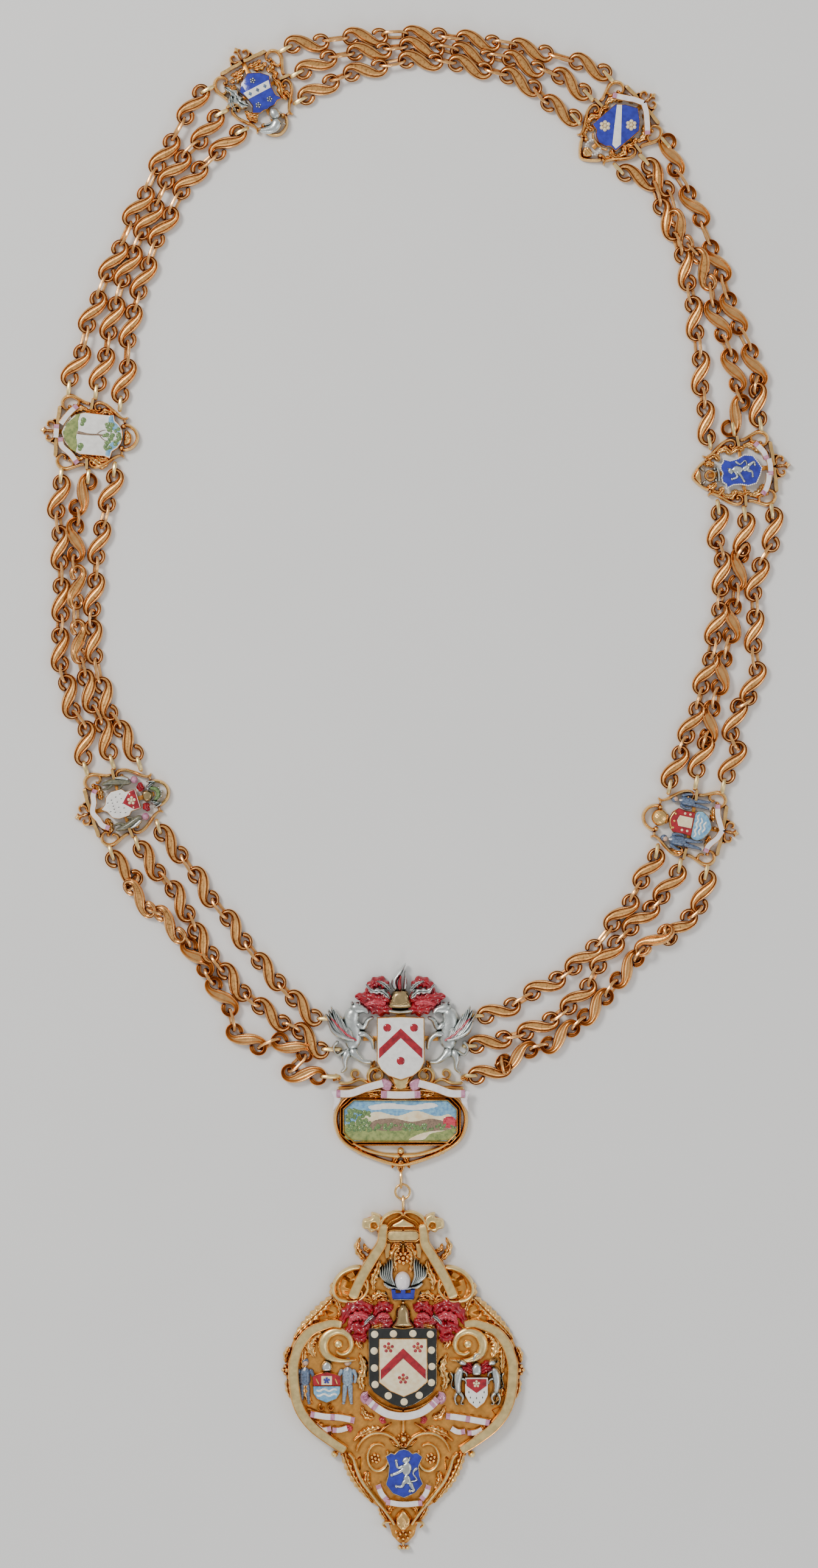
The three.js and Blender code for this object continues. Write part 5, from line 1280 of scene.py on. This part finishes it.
# The silver crest over the helmet: raised wings, an egg between them, and a crown.
crest = Piece("pendant_crest", ["pendant_crest"], PENDANT)
for k in range(6):
    reach = k / 5
    crest.both("silver", limb([(3.4 + 0.5 * k, 34.6 + 0.2 * k), (5 + 0.8 * k, 38.6),
                               (4.6 + 0.95 * k, 43 - 2.2 * reach),
                               (4.8 + 0.9 * k, 47.4 - 5.6 * reach)],
                              (1, 1.5, 1.4, 0.5), 2.2, 2.6 - 0.12 * k))
crest.both("silver", limb([(3.2, 34), (5.8, 34.2), (8.2, 36)], (1.2, 2, 1.4), 2.2, 3.1))
crest.add("ribbon", relief(np.stack([-0.2 + 3.3 * np.cos(turns), 36.4 + 4.1 * np.sin(turns)], 1),
                           2.2, 4, 3.2, 0.5))
crest.add("silver", rail([(-4.6, 34), (0, 33.4), (4.6, 34)], 1.5, 2.4, 2.2),
          rail([(-4.4, 29.3), (4.4, 29.3)], 1.2, 3.1, 2.2))
crest.add("blue", slab([(-4.4, 29.6), (4.4, 29.6), (4.9, 33.4), (3.2, 33.2), (3, 31.8), (1, 31.8),
                        (0.9, 33.3), (-0.9, 33.3), (-1, 31.8), (-3, 31.8), (-3.2, 33.2),
                        (-4.9, 33.4)], 2.2, 5.2, 0.3))
crest.build()

helmet = Piece("pendant_helmet", ["pendant_helmet"], PENDANT)
helmet.add("bronze",
           relief([(-4.6, 17.8), (-3.4, 21), (-3, 24.6), (-1.6, 27), (0, 27.6), (1.6, 27),
                   (3, 24.6), (3.4, 21), (4.6, 17.8), (0, 17.2)], 2.2, 4, 2.6, 0.4),
           rail([(0, 27.4), (0, 23), (0, 18.2)], (0.6, 0.9), 0.8, 5.3),
           rail([(-2.9, 22.2), (0, 21.2), (2.9, 22.2)], (0.6, 0.9, 0.6), 1.2, 4.6))
helmet.add("gold", rail([(-4.6, 18.2), (0, 17.4), (4.6, 18.2)], 1.3, 3.8, 2.2),
           dome(0, 27.9, 3, 0.9, 2.4))
helmet.build()

for side, name in ((-1, "left"), (1, "right")):
    mantling = Piece(f"pendant_mantling_{name}", [f"pendant_mantling_{name}"], PENDANT)
    for finish, path, width, z0, height in (
            ("red", [(4.4, 20), (8.6, 19.4), (12.4, 20.4), (15.4, 23)], 5, 2.1, 2.4),
            ("red", [(4.6, 24.6), (7.4, 26.4), (10, 25.4), (12, 22.6)], 4, 2.1, 2.6),
            ("red", [(13, 24), (16.4, 26.8), (20.8, 26.2), (24, 22.4), (25.6, 18.6)], 4.6, 2.1,
             2.6),
            ("red", [(14, 19.4), (17.2, 17.4), (20.6, 18), (23.4, 15.6)], 4.8, 2.2, 2.8),
            ("red", [(15, 14.6), (17.6, 13.2), (21, 14.4)], 3.4, 2.1, 2.2),
            ("pink", [(14.4, 21.6), (17.6, 22.6), (20.8, 21.6), (22.2, 19)], 2.8, 3.6, 1.8),
            ("pink", [(5.6, 22.2), (8.8, 22.6), (11, 21.4)], 2, 3.8, 1.5),
            ("gold", [(8.2, 18.6), (11.2, 18), (13.8, 16.4)], 2.4, 2.6, 2.4),
            ("gold", [(12.4, 27.4), (15.4, 29), (18.6, 28.4)], 2, 2.2, 2.4),
            ("silver", [(12.2, 22.6), (14.4, 21), (16.2, 18.4)], 1.7, 3.8, 1.6)):
        line = [(side * x, y) for x, y in path]
        mantling.add(finish, leaf(line, width, z0, height, 5, 0.4))
    mantling.build()

# The main shield: a black border set with cream studs, and a cream field.
shield_piece = Piece("pendant_shield", ["pendant_shield"], PENDANT)
border = [(-14, 17.2), (0, 17.6), (13.6, 17.2), (13.6, -5.6), (12, -8.6), (9, -10.9), (4.6, -13.6),
          (0.3, -15), (-4.4, -13.6), (-8.8, -10.9), (-12, -8.6), (-13.9, -5.6)]
shield(shield_piece, "black", border, 2.1, 4.9, 0.7, "silver")
for x, y in ((-11.7, 15), (-4, 15.2), (4, 15.3), (11.2, 15), (-11.9, 8.2), (11.6, 8.5),
             (-11.8, 1.2), (11.8, 1.8), (-11.5, -5.6), (11.6, -4.8), (-6.1, -10.2), (6.6, -10),
             (0.4, -12.7)):
    roundel(shield_piece, "cream", x, y, 4.85, 1.6, 0.45)
field = [(-9.8, 13.2), (9.7, 13.2), (9.9, -4.4), (5.4, -8.2), (0.2, -10.5), (-5.2, -8.2),
         (-9.8, -4.6)]
shield(shield_piece, "cream", field, 4.5, 5.6, 0.5)
shield_piece.add("red", slab([(-9.2, -3.6), (0, 5.2), (9.3, -3.4), (9.3, 0.6), (0, 9.4),
                              (-9.2, 0.4)], 5.2, 5.95, 0.25))
for x, y in ((-6, 9.6), (6, 9.6), (0, -3.2)):
    shield_piece.add("red", *rosette(x, y, 5, 2.5, 5))
    shield_piece.add("gold", dome(x, y, 5.6, 0.8, 0.8, 10, 3))
shield_piece.build()

ribbon = Piece("pendant_ribbon", ["pendant_ribbon"], PENDANT)
banner(ribbon, [(-14.6, -11.8), (-11.4, -14.6), (-6.6, -17.4), (0, -18.5), (6.6, -17.2),
                (11.2, -14.4), (14.2, -11.4)], 3.3, 5.15, 6.4, (0, 0.12, 0.9, 1))
for s in (-1, 1):
    ribbon.add("mauve", leaf([(s * 13.4, -12.6), (s * 16.4, -11.4), (s * 14.4, -8.8)], 2.6, 3.2,
                             1.9, 2))
    ribbon.add("pink", leaf([(s * 7.6, -19.2), (s * 9, -20.6), (s * 7, -21.4)], 1.8, 3, 1.6, 2))
ribbon.build()

# The small arms on the left: two standing figures beside a divided shield.
arms = Piece("pendant_left_arms", ["pendant_left_arms"], PENDANT)
person(arms, -40.4, -14.2, 2.1, 1.16, "slate", 1)
person(arms, -22.8, -14.2, 2.1, 1.16, "mist", -1)
lower = [(-37, -6.4), (-25.8, -6.4), (-26, -9.4), (-27.4, -11.6), (-31.4, -13.2), (-35.4, -11.6),
         (-36.8, -9.4)]
shield(arms, "sky", lower, 2.1, 4, 0.45)
shield(arms, "red", [(-37, -6.2), (-37.2, -2.4), (-34.4, -1.4), (-31.4, -0.6), (-28.4, -1.4),
                     (-25.6, -2.4), (-25.8, -6.2)], 2.1, 4.1, 0.45)
arms.add("cream", slab([(-33.6, -5.9), (-29.2, -5.9), (-29.2, -2.2), (-33.6, -2.2)], 3.9, 4.35,
                       0.15))
arms.add("blue", *rosette(-31.4, -4, 4.2, 1.5, 5))
for y in (-8, -10):
    arms.add("white", rail([(x, y + 0.4 * math.sin(1.5 * x)) for x in np.arange(-35.6, -27, 0.5)],
                           0.9, 0.35, 3.9))
arms.add("gold", rail([(-35.8, -3.2), (-34.6, -5.6)], 0.7, 0.4, 4),
         rail([(-28, -3.2), (-27, -5.6)], 0.7, 0.4, 4),
         *(rail(arc(x, -15.4, 1.5, 90, 410, r1=0.6), 0.8, 2, 2.1) for x in (-33.4, -29.6)))
arms.add("silver", relief([(-33.2, -0.4), (-33.6, 2.4), (-31.4, 4.2), (-29.2, 2.4), (-29.6, -0.4)],
                          2.1, 2.6, 1.6, 0.4))
arms.build()

left_ribbon = Piece("pendant_left_ribbon", ["pendant_left_ribbon"], PENDANT)
banner(left_ribbon, [(-38, -17.8), (-32, -18.8), (-26, -19.2), (-20, -20.4)], 2.7, 3.4, 4.9,
       (0, 0.5, 1))
banner(left_ribbon, [(-36, -22.6), (-33.2, -24.4), (-29.6, -23.8)], 2.3, 2.4, 4.1, (1,))
banner(left_ribbon, [(-29, -24.4), (-26, -24.4), (-23, -23.6)], 2.3, 2.6, 4.3, (0,))
left_ribbon.add("pink", leaf([(-24.2, -24.4), (-22.2, -23.4), (-21.6, -25.4)], 2, 2.4, 1.8, 2))
left_ribbon.build()

# The small arms on the right: two rearing beasts beside a spotted shield.
arms = Piece("pendant_right_arms", ["pendant_right_arms"], PENDANT)
for x, turn in ((23.4, 1), (37.6, -1)):
    def beast(points):
        return [(x + turn * px, py) for px, py in points]
    arms.add("silver",
             limb(beast([(0.6, 1.4), (-0.6, -2), (-1, -6), (-0.4, -9.6)]), (3, 4.2, 3.4, 2.6), 2.1,
                  3.4),
             limb(beast([(-0.4, 2.6), (0.8, 3.4), (2.6, 2.6)]), (2.6, 2.8, 1.2), 2.8, 3.2),
             limb(beast([(0.6, 0), (2.4, -1), (2.8, -2.6)]), (1.6, 1.1, 1), 2.6, 2.6),
             limb(beast([(0.2, -3), (2.2, -4), (2.6, -5.8)]), (1.6, 1.1, 1), 2.6, 2.4),
             limb(beast([(-0.6, -8.6), (1.2, -11), (0.4, -13.6), (1.8, -13.9)]),
                  (2.4, 1.8, 1.2, 1), 2.1, 2.8),
             limb(beast([(-1, -8.8), (-2.2, -11.4), (-1.6, -13.8), (-0.6, -14)]),
                  (2.2, 1.5, 1.1, 0.9), 2.1, 2.4),
             limb(beast([(-1.6, -8), (-3.6, -6.4), (-3, -2.8), (-4, -0.8)]), (0.8, 0.8, 0.8, 1.4),
                  2.1, 2),
             limb(beast([(-0.8, 3.2), (-1.6, 4.6)]), (1, 0.5), 3, 2.6),
             limb(beast([(0, 3.8), (-0.2, 5)]), (0.9, 0.4), 3, 2.6))
spotted = [(25.4, -2.8), (34.8, -2.8), (34.8, -10), (33.4, -13), (30.2, -15.6), (27, -13),
           (25.4, -10)]
shield(arms, "white", spotted, 2.2, 4.2, 0.45)
arms.add("red", slab([(26, -6.2), (26, -3.4), (34.2, -3.4), (34.2, -6.2), (30.1, -9.2)], 4, 4.5,
                     0.15))
arms.add("cream", *rosette(30.1, -5.4, 4.35, 1.6, 5))
for x, y in ((27, -8.8), (33.2, -8.8), (27.6, -11), (30.1, -11.2), (32.6, -11), (28.8, -13),
             (31.4, -13)):
    arms.add("black", rail([(x, y + 0.5), (x, y - 0.5)], (0.3, 0.7), 0.15, 4.15))
for s in (-1, 1):
    arms.add("red", leaf([(30.2 + s * 1.6, -0.8), (30.2 + s * 4.4, 0.6), (30.2 + s * 7, -0.6)],
                         2.8, 2.2, 2.2, 4),
             leaf([(30.2 + s * 2, 1.2), (30.2 + s * 4.4, 3), (30.2 + s * 6.4, 2.4)], 2, 2.2, 2, 3))
arms.add("silver", relief([(28.4, -2), (28, 1.6), (30.2, 3.4), (32.4, 1.6), (32, -2)], 2.2, 3, 1.8,
                          0.4),
         limb([(28.6, 4), (30, 6.6), (32, 6.8)], (1.4, 1.9, 0.8), 2.4, 2.4))
arms.build()

right_ribbon = Piece("pendant_right_ribbon", ["pendant_right_ribbon"], PENDANT)
banner(right_ribbon, [(17.6, -18.6), (23, -19.2), (29, -20.2), (35.4, -21.4)], 2.7, 3.4, 4.9,
       (0, 0.5, 1))
banner(right_ribbon, [(19.8, -23.8), (22.4, -25.2), (25.4, -25)], 2.3, 2.4, 4.1, (1,))
banner(right_ribbon, [(26.4, -25.6), (29.6, -25.4), (32.4, -24.2)], 2.3, 2.6, 4.3, (0,))
right_ribbon.build()

low_shield = Piece("pendant_low_shield", ["pendant_low_shield"], PENDANT)
shield(low_shield, "blue",
       [(-7, -35.2), (-5, -33.8), (-3.4, -34.4), (-1.6, -32.6), (0.4, -32.2), (2.2, -32.8),
        (3.8, -34.2), (5.6, -33.6), (7.8, -35.4), (6.2, -39), (6.6, -43.2), (8, -46.4),
        (4.8, -50), (0.4, -52), (-4.2, -50.2), (-7, -46.6), (-6, -43.2), (-5.6, -39)],
       3.95, 4.9, 0.55, "silver")
low_shield.add("silver", *lion(0.2, -49.6, 4.85, 0.8, 0.96))
low_shield.build()

low_ribbon = Piece("pendant_low_ribbon", ["pendant_low_ribbon"], PENDANT)
banner(low_ribbon, [(-10.3, -46.6), (-9, -50), (-6.6, -53)], 2.3, 5.15, 6.2, (0, 1))
banner(low_ribbon, [(-7, -53.6), (0, -54.6), (7.8, -54)], 2.4, 5.2, 6.3, (0, 1))
banner(low_ribbon, [(7.4, -52.6), (9.4, -50), (10.5, -46.8)], 2.3, 5.15, 6.2, (0, 1))
low_ribbon.build()


# ---- The centrepiece and the jump ring --------------------------------------------------------

PANEL = [(-24, 5), (-19.8, 8.8), (18.8, 8.8), (22.6, 5), (22.6, -4.6), (18.8, -8.4), (-19.8, -8.4),
         (-24, -4.6)]
HOOP = [(-0.7, 13), (-12, 12.6), (-22, 10.2), (-26.6, 4.6), (-27, -2), (-23.6, -8.6), (-15, -13.6),
        (-4, -17.4), (3, -17.4), (14, -13.6), (22.6, -8.6), (26, -2), (25.6, 4.6), (21, 10.2),
        (11, 12.6)]
MIDDLE = -0.5  # the line that the two sides mirror over, from the middle of the picture

frame_piece = Piece("centre_frame", ["centre_frame"], CENTRE)
frame_piece.add("gold", sweep(spline(HOOP, 0.6, True), 2, 3.1, 0.3, closed=True),
                sweep(even(PANEL, 0.6, True), 1.1, 4, 0.2, closed=True),
                sweep(inset(turned_ccw(even(PANEL, 0.6, True)), -1.2), 1.2, 3.2, 0.2, closed=True))
# Backings behind the openwork, in gold darkened as painted shade.
frame_piece.add("recess_shade", slab([(x * 1.02, y * 1.02) for x, y in PANEL], 0, 1.9, 0.2),
                slab([(-20, 8), (19, 8), (15, 13.4), (-16, 13.4)], 0.1, 2, 0.3),
                slab([(-2.5, 13), (1.5, 13), (1.5, 53), (-2.5, 53)], 0.1, 1.3, 0.2),
                slab([(-16, 33), (15, 33), (15, 35), (-16, 35)], 0.1, 1.3, 0.2))
for name, shapes in (
        ("bright", (
            rail([(20, -8.6), (14.6, -11.6), (7.6, -13.6), (0, -14.4)], (1.6, 2, 2, 2.6), 3.6, 0.3),
            rail(arc(9.8, 18.9, 4.1, -100, 430, r1=0.9), (1.6, 1.8, 1.4, 1), 3.6, 0.4),
            rail(arc(18.5, 19.6, 2.1, -90, 260, r1=0.9), (1, 1.3, 0.9), 3.4, 0.4),
            rail([(25.6, 15.8), (21.5, 15.6), (16.8, 17.2), (12.8, 15.4)], (1.3, 1.5, 1.3), 3.4,
                 0.4),
            rail([(26, 13.6), (19.6, 14), (13.4, 13.6), (7, 15.2), (2, 13.6)], 1.2, 3.2, 0.4),
            rail([(5.6, 19.6), (3.8, 16.8), (1.6, 14.4)], (1.2, 1.6, 1.2), 3.2, 0.4))),
        ("gold", (
            leaf([(19.6, -10.4), (15.6, -13), (10, -14.6)], 2, 0.6, 2.4, 5),
            leaf([(1, -13.4), (2.4, -16), (3.6, -19.3)], 2.2, 0.8, 2.6, 4),
            leaf([(0, -16), (0.7, -19), (0.1, -21)], 1.8, 0.8, 2.6, 3),
            leaf([(24.8, 17), (26.6, 18.2), (27.6, 16.4)], 2, 1, 2, 3),
            leaf([(13.6, 11.6), (9, 10.4), (5, 11.6)], 2.2, 1.8, 1.6, 4),
            leaf([(9.2, 20.4), (11.4, 22.6), (10.6, 25)], 2, 1, 2.2, 3)))):
    frame_piece.add(name, *(moved(s, Matrix.Translation((MIDDLE, 0, 0))) for s in shapes),
                    *(moved(mirrored(s), Matrix.Translation((MIDDLE, 0, 0))) for s in shapes))
frame_piece.add("bright", relief([(-6, 20.6), (-4.4, 17.4), (-2.8, 13), (1.8, 13), (3.4, 17.4),
                                  (5, 20.6), (-0.5, 18)], 1, 2.4, 1, 0.45),
                dome(-0.5, -12.2, 1.6, 1.5, 2.4))
turns = np.linspace(0, 2 * math.pi, 28, endpoint=False)
frame_piece.add("gold", tube([(-0.4, -24 + 3.2 * math.cos(t), 1.9 + 1.35 * math.sin(t))
                              for t in turns], 0.58, 8, True))


def end_bar(piece, side, level, inner):
    """A loop standing on edge, from the centrepiece to a strand's last eye, in gold lightened as a
    painted highlight.
    """
    x, y = CENTRE_EYES[side][level]
    far = x - side * 1.1
    piece.add("bright", tube([((inner + far) / 2 + (far - inner) / 2 * math.cos(t), y,
                               2 + 1.15 * math.sin(t)) for t in turns], 0.86, 8, True))


for s in (-1, 1):
    end_bar(frame_piece, s, "outer", s * 26)
frame_piece.build()

picture = Piece("centre_picture", ["centre_picture"], CENTRE)
picture.add("sky", slab(inset(turned_ccw(even(PANEL, 0.8, True)), 0.4), 2, 3.1, 0.15))
for k, (finish, outline) in enumerate((
        ("white", [(-14, 6.4), (-6, 7.8), (4, 7), (12, 8), (15, 6), (6, 4.4), (-4, 5), (-12, 4.4)]),
        ("cream", [(-18, 2), (-10, 4.2), (-2, 2.6), (6, 4.6), (14, 2.4), (20, 3), (20, -3), (0, -4),
                   (-18, -3)]),
        ("trunk", [(-12, 0.6), (-4, 1.8), (4, 0.4), (12, 1.6), (18, 0), (18, -4), (0, -5),
                   (-14, -4)]),
        ("grass", [(-23, -1), (-14, -2.6), (-4, -3.4), (6, -2.6), (14, -3.8), (22, -2.6),
                   (21.6, -4.8),
                   (18.4, -7.8), (-19.4, -7.8), (-23.2, -4.8)]),
        ("cream", [(2, -7.6), (8, -4.4), (16, -3.4), (18, -4), (12, -5.4), (9, -7.8)]),
        ("pink", [(17, 1.4), (20, 2.2), (22, 0.8), (21.6, -2.6), (17.4, -2.4)]))):
    picture.add(finish, relief(outline, 2.9 + 0.05 * k, 0.3, 0.9, 0.5))
chance = random.Random(11)
for _ in range(150):
    x = chance.choice((chance.uniform(-22.6, -13), chance.uniform(-22.6, -13),
                       chance.uniform(-14, 21)))
    y = chance.uniform(-4, 4.6) if x < -13 else chance.uniform(-3.6, -1.2)
    picture.add("green", dome(x, y, 3.2, chance.uniform(0.4, 1.1), 0.42, 7, 2))
picture.build()

shield_piece = Piece("centre_shield", ["centre_shield"], CENTRE)
shield(shield_piece, "white",
       [(-10, 42.6), (-0.5, 43), (9, 42.6), (9.1, 24.6), (7.6, 21.6), (4.6, 19), (-0.5, 17.3),
        (-5.6, 19), (-8.6, 21.6), (-10.1, 24.6)], 4.2, 5.5, 0.6)
# A block under the shield, in gold darkened as painted shade.
shield_piece.add("recess_shade", slab([(-9.2, 42), (8.2, 42), (8.2, 24), (-9.2, 24)], 1.3, 4.3, 0.2))
shield_piece.add("red", slab([(-9.4, 26), (-0.5, 34.4), (8.4, 26), (8.4, 30), (-0.5, 38.4),
                              (-9.4, 30)], 5.3, 5.75, 0.2),
                 *(dome(x, y, 5.4, 1.8, 0.45, 16, 3) for x,
                   y in ((-6, 38.6), (5, 38.6), (-0.5, 25))))
shield_piece.build()

GRIFFIN = [
    ([(18.8, 46.6), (20.4, 42), (20, 38), (19.4, 34), (20.6, 29.6)], (4, 4.4, 5.6, 5, 4.4)),
    ([(20.6, 47.2), (17.4, 46.4), (14.8, 45.8), (13.2, 44.2)], (3, 3.6, 2.4, 1)),
    ([(17, 47.4), (16.6, 49)], (1.2, 0.5)), ([(19.6, 47.8), (20.4, 49.6)], (1.3, 0.5)),
    ([(18.4, 40.4), (15.2, 38.6), (13.4, 41.6), (11, 42.8)], (2.6, 1.8, 1.5, 1.1)),
    ([(18.2, 36), (14.4, 35.8), (11.8, 33.2), (11, 29.4)], (2.6, 1.8, 1.5, 1.1)),
    ([(20.6, 30), (18.2, 27), (15, 24.6), (11.6, 24.4)], (4, 2.4, 1.6, 1.2)),
    ([(21.6, 29.6), (23, 25.6), (22.8, 22), (24.6, 20)], (4, 2.4, 1.5, 1.1)),
    ([(22.8, 29), (26.2, 27.4), (27.6, 30.4), (25.6, 33)], (1.1, 1, 1, 1.5)),
]
for side, name in ((-1, "left"), (1, "right")):
    griffin = Piece(f"centre_griffin_{name}", [f"centre_griffin_{name}"], CENTRE)
    for path, widths in GRIFFIN:
        griffin.add("silver", limb([(side * x + MIDDLE, y) for x, y in path],
                                   [1.45 * w for w in widths], 1.7, 2.8))
    for k in range(8):
        reach = k / 7
        tip = (22.6 + 8.4 * reach, 47.6 - 1.6 * abs(k - 5) - (3 if k < 2 else 0))
        feather = [(19.4 + 3.6 * reach, 33 + 1.6 * reach), (21.4 + 5 * reach, 38 - 0.6 * reach),
                   tip]
        griffin.add("silver", limb([(side * x + MIDDLE, y) for x, y in feather], (1.8, 2.5, 0.8),
                                   2.4, 2.9 - 0.15 * (k % 2)))
    griffin.add("silver", limb([(side * x + MIDDLE, y) for x, y in ((18.4, 33.4), (22.6, 34.4),
                                                                  (27.6, 37), (29.8, 41.6))],
                               (1.8, 2.6, 2.2, 1), 2.6, 3))
    griffin.add("pink", limb([(side * x + MIDDLE, y) for x,
                              y in ((18, 33.2), (23, 36.6), (28.6, 42.6))],
                             (0.9, 1.1, 0.7), 4.4, 1.1))
    for level, y in (("inner", 43), ("middle", 30.6)):
        end_bar(griffin, side, level, side * 25.4)
    griffin.build()

crest = Piece("centre_crest", ["centre_crest"], CENTRE)
for side in (-1, 1):
    for finish, path, width, z0, height in (
            ("red", [(3.4, 46.6), (8, 46), (12.4, 47.6), (16.6, 50)], 4.2, 1.7, 2.2),
            ("red", [(4, 52), (8.4, 50), (13, 51), (18.6, 51.4)], 4.6, 1.7, 2.4),
            ("red", [(5, 55), (8.4, 57.4), (12, 55.8), (14, 52.6)], 3.6, 1.7, 2.4),
            ("pink", [(6, 48.4), (10.4, 49), (14.6, 47.8)], 2, 3.2, 1.3),
            ("silver", [(4.4, 50.6), (7.6, 53.4), (11.6, 53.6), (14, 56.4)], 2, 3.2, 1.6),
            ("silver", [(4.2, 54), (6.6, 56.4), (9.6, 57.8)], 1.6, 3.2, 1.6)):
        crest.add(finish, leaf([(side * x - 0.7, y) for x, y in path], width, z0, height, 5, 0.3))
crest.add("bronze", relief([(-5.4, 46.4), (-5, 50.6), (-3.6, 53.4), (-0.8, 54.4), (2.2, 53.4),
                            (3.4, 50.6), (3.8, 46.4)], 1.7, 3.3, 2.6, 0.45),
          rail([(-4.6, 49.4), (-0.8, 48.2), (3, 49.4)], 0.8, 1, 4.1))
crest.add("silver", rail([(-5.8, 45.4), (-0.8, 44.8), (4.6, 45.4)], 2.2, 2.6, 1.7),
          limb([(-2.4, 54), (-3.2, 57.6), (-1, 61), (1.6, 65)], (2.2, 2.4, 2, 0.7), 1.7, 2.6),
          limb([(1.2, 54), (1.4, 58), (1.4, 62)], (1.8, 1.6, 0.7), 1.7, 2.4))
crest.add("red", limb([(-0.8, 54), (-1, 57), (-0.4, 60)], (1.6, 1.6, 0.8), 2.6, 2.2))
crest.build()

ribbon = Piece("centre_ribbon", ["centre_ribbon"], CENTRE)
banner(ribbon, [(-8.6, 11.3), (-0.5, 11), (7.6, 11.3)], 3.1, 4.25, 5.4, (0, 1), fold_size=2.4)
for side in (-1, 1):
    def turned(points):
        return [(side * x + MIDDLE, y) for x, y in points]
    banner(ribbon, turned([(7.4, 15.8), (14, 14), (20.6, 11.7), (26.4, 11.6)]), 3.2, 4.25, 5.4,
           (1,))
    ribbon.add("mauve", relief(turned([(3.8, 16.2), (7.4, 17.6), (8.4, 14.4), (5.6, 12.4),
                                       (4.2, 13.2)]), 4.3, 0.8, 0.6, 0.4))
    ribbon.add("ribbon", relief(turned([(28.4, 12.6), (27.4, 9.2), (27.9, 4), (26.6, 5.6),
                                        (24.8, 8.4), (24.6, 12)]), 4.3, 0.7, 0.6, 0.4))
ribbon.build()

ring = Piece("jump_ring", ["jump_ring"], CENTRE)
low, high = (Vector(v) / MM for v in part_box("jump_ring"))
hub = CENTRE.inverted() @ ((low + high) / 2)
ring.add("gold", tube([(hub.x + 3 * math.cos(t), hub.y + 3 * math.sin(t), hub.z) for t in turns],
                      0.5, 10, True))
ring.build()


# ---- Stage, lights and camera -----------------------------------------------------------------


def floor():
    material, tree, shader = new_material("pale_floor")
    tone = shades(tree, (0.8, 0.8, 0.79), (0.84, 0.84, 0.83), noise(tree, 60))
    tree.links.new(tone, shader.inputs["Base Color"])
    shader.inputs["Roughness"].default_value = 0.7
    mesh = bpy.data.meshes.new("floor")
    mesh.from_pydata([(-3, -3, 0), (3, -3, 0), (3, 3, 0), (-3, 3, 0)], [], [(0, 1, 2, 3)])
    mesh.materials.append(material)
    made = bpy.data.objects.new("floor", mesh)
    bpy.context.scene.collection.objects.link(made)


def softbox(name, where, size, power, colour=(1, 1, 1)):
    light = bpy.data.lights.new(name, "AREA")
    light.shape, light.size, light.energy, light.color = "DISK", size, power, colour
    made = bpy.data.objects.new(name, light)
    made.location = where
    made.rotation_euler = (-Vector(where)).to_track_quat("-Z", "Y").to_euler()
    bpy.context.scene.collection.objects.link(made)


floor()
softbox("key", (-1.1, 1.0, 1.6), 0.7, 30, (1, 0.97, 0.93))
softbox("fill", (1.5, -0.4, 1.3), 1.0, 5, (0.97, 0.98, 1))
softbox("rim", (0.1, -1.7, 1.0), 0.8, 6)
world = bpy.data.worlds.new("studio")
world.use_nodes = True
world.node_tree.nodes["Background"].inputs["Color"].default_value = (0.8, 0.8, 0.8, 1)
world.node_tree.nodes["Background"].inputs["Strength"].default_value = 0.72
bpy.context.scene.world = world

camera = bpy.data.cameras.new("camera")
camera.lens = 100
look = bpy.data.objects.new("camera", camera)
centre = LAYOUT @ Vector((-2.6, 2.1, 0))
look.location = (centre.x * MM, centre.y * MM, 0.644 / 36 * 100 + 0.003)
bpy.context.scene.collection.objects.link(look)
bpy.context.scene.camera = look
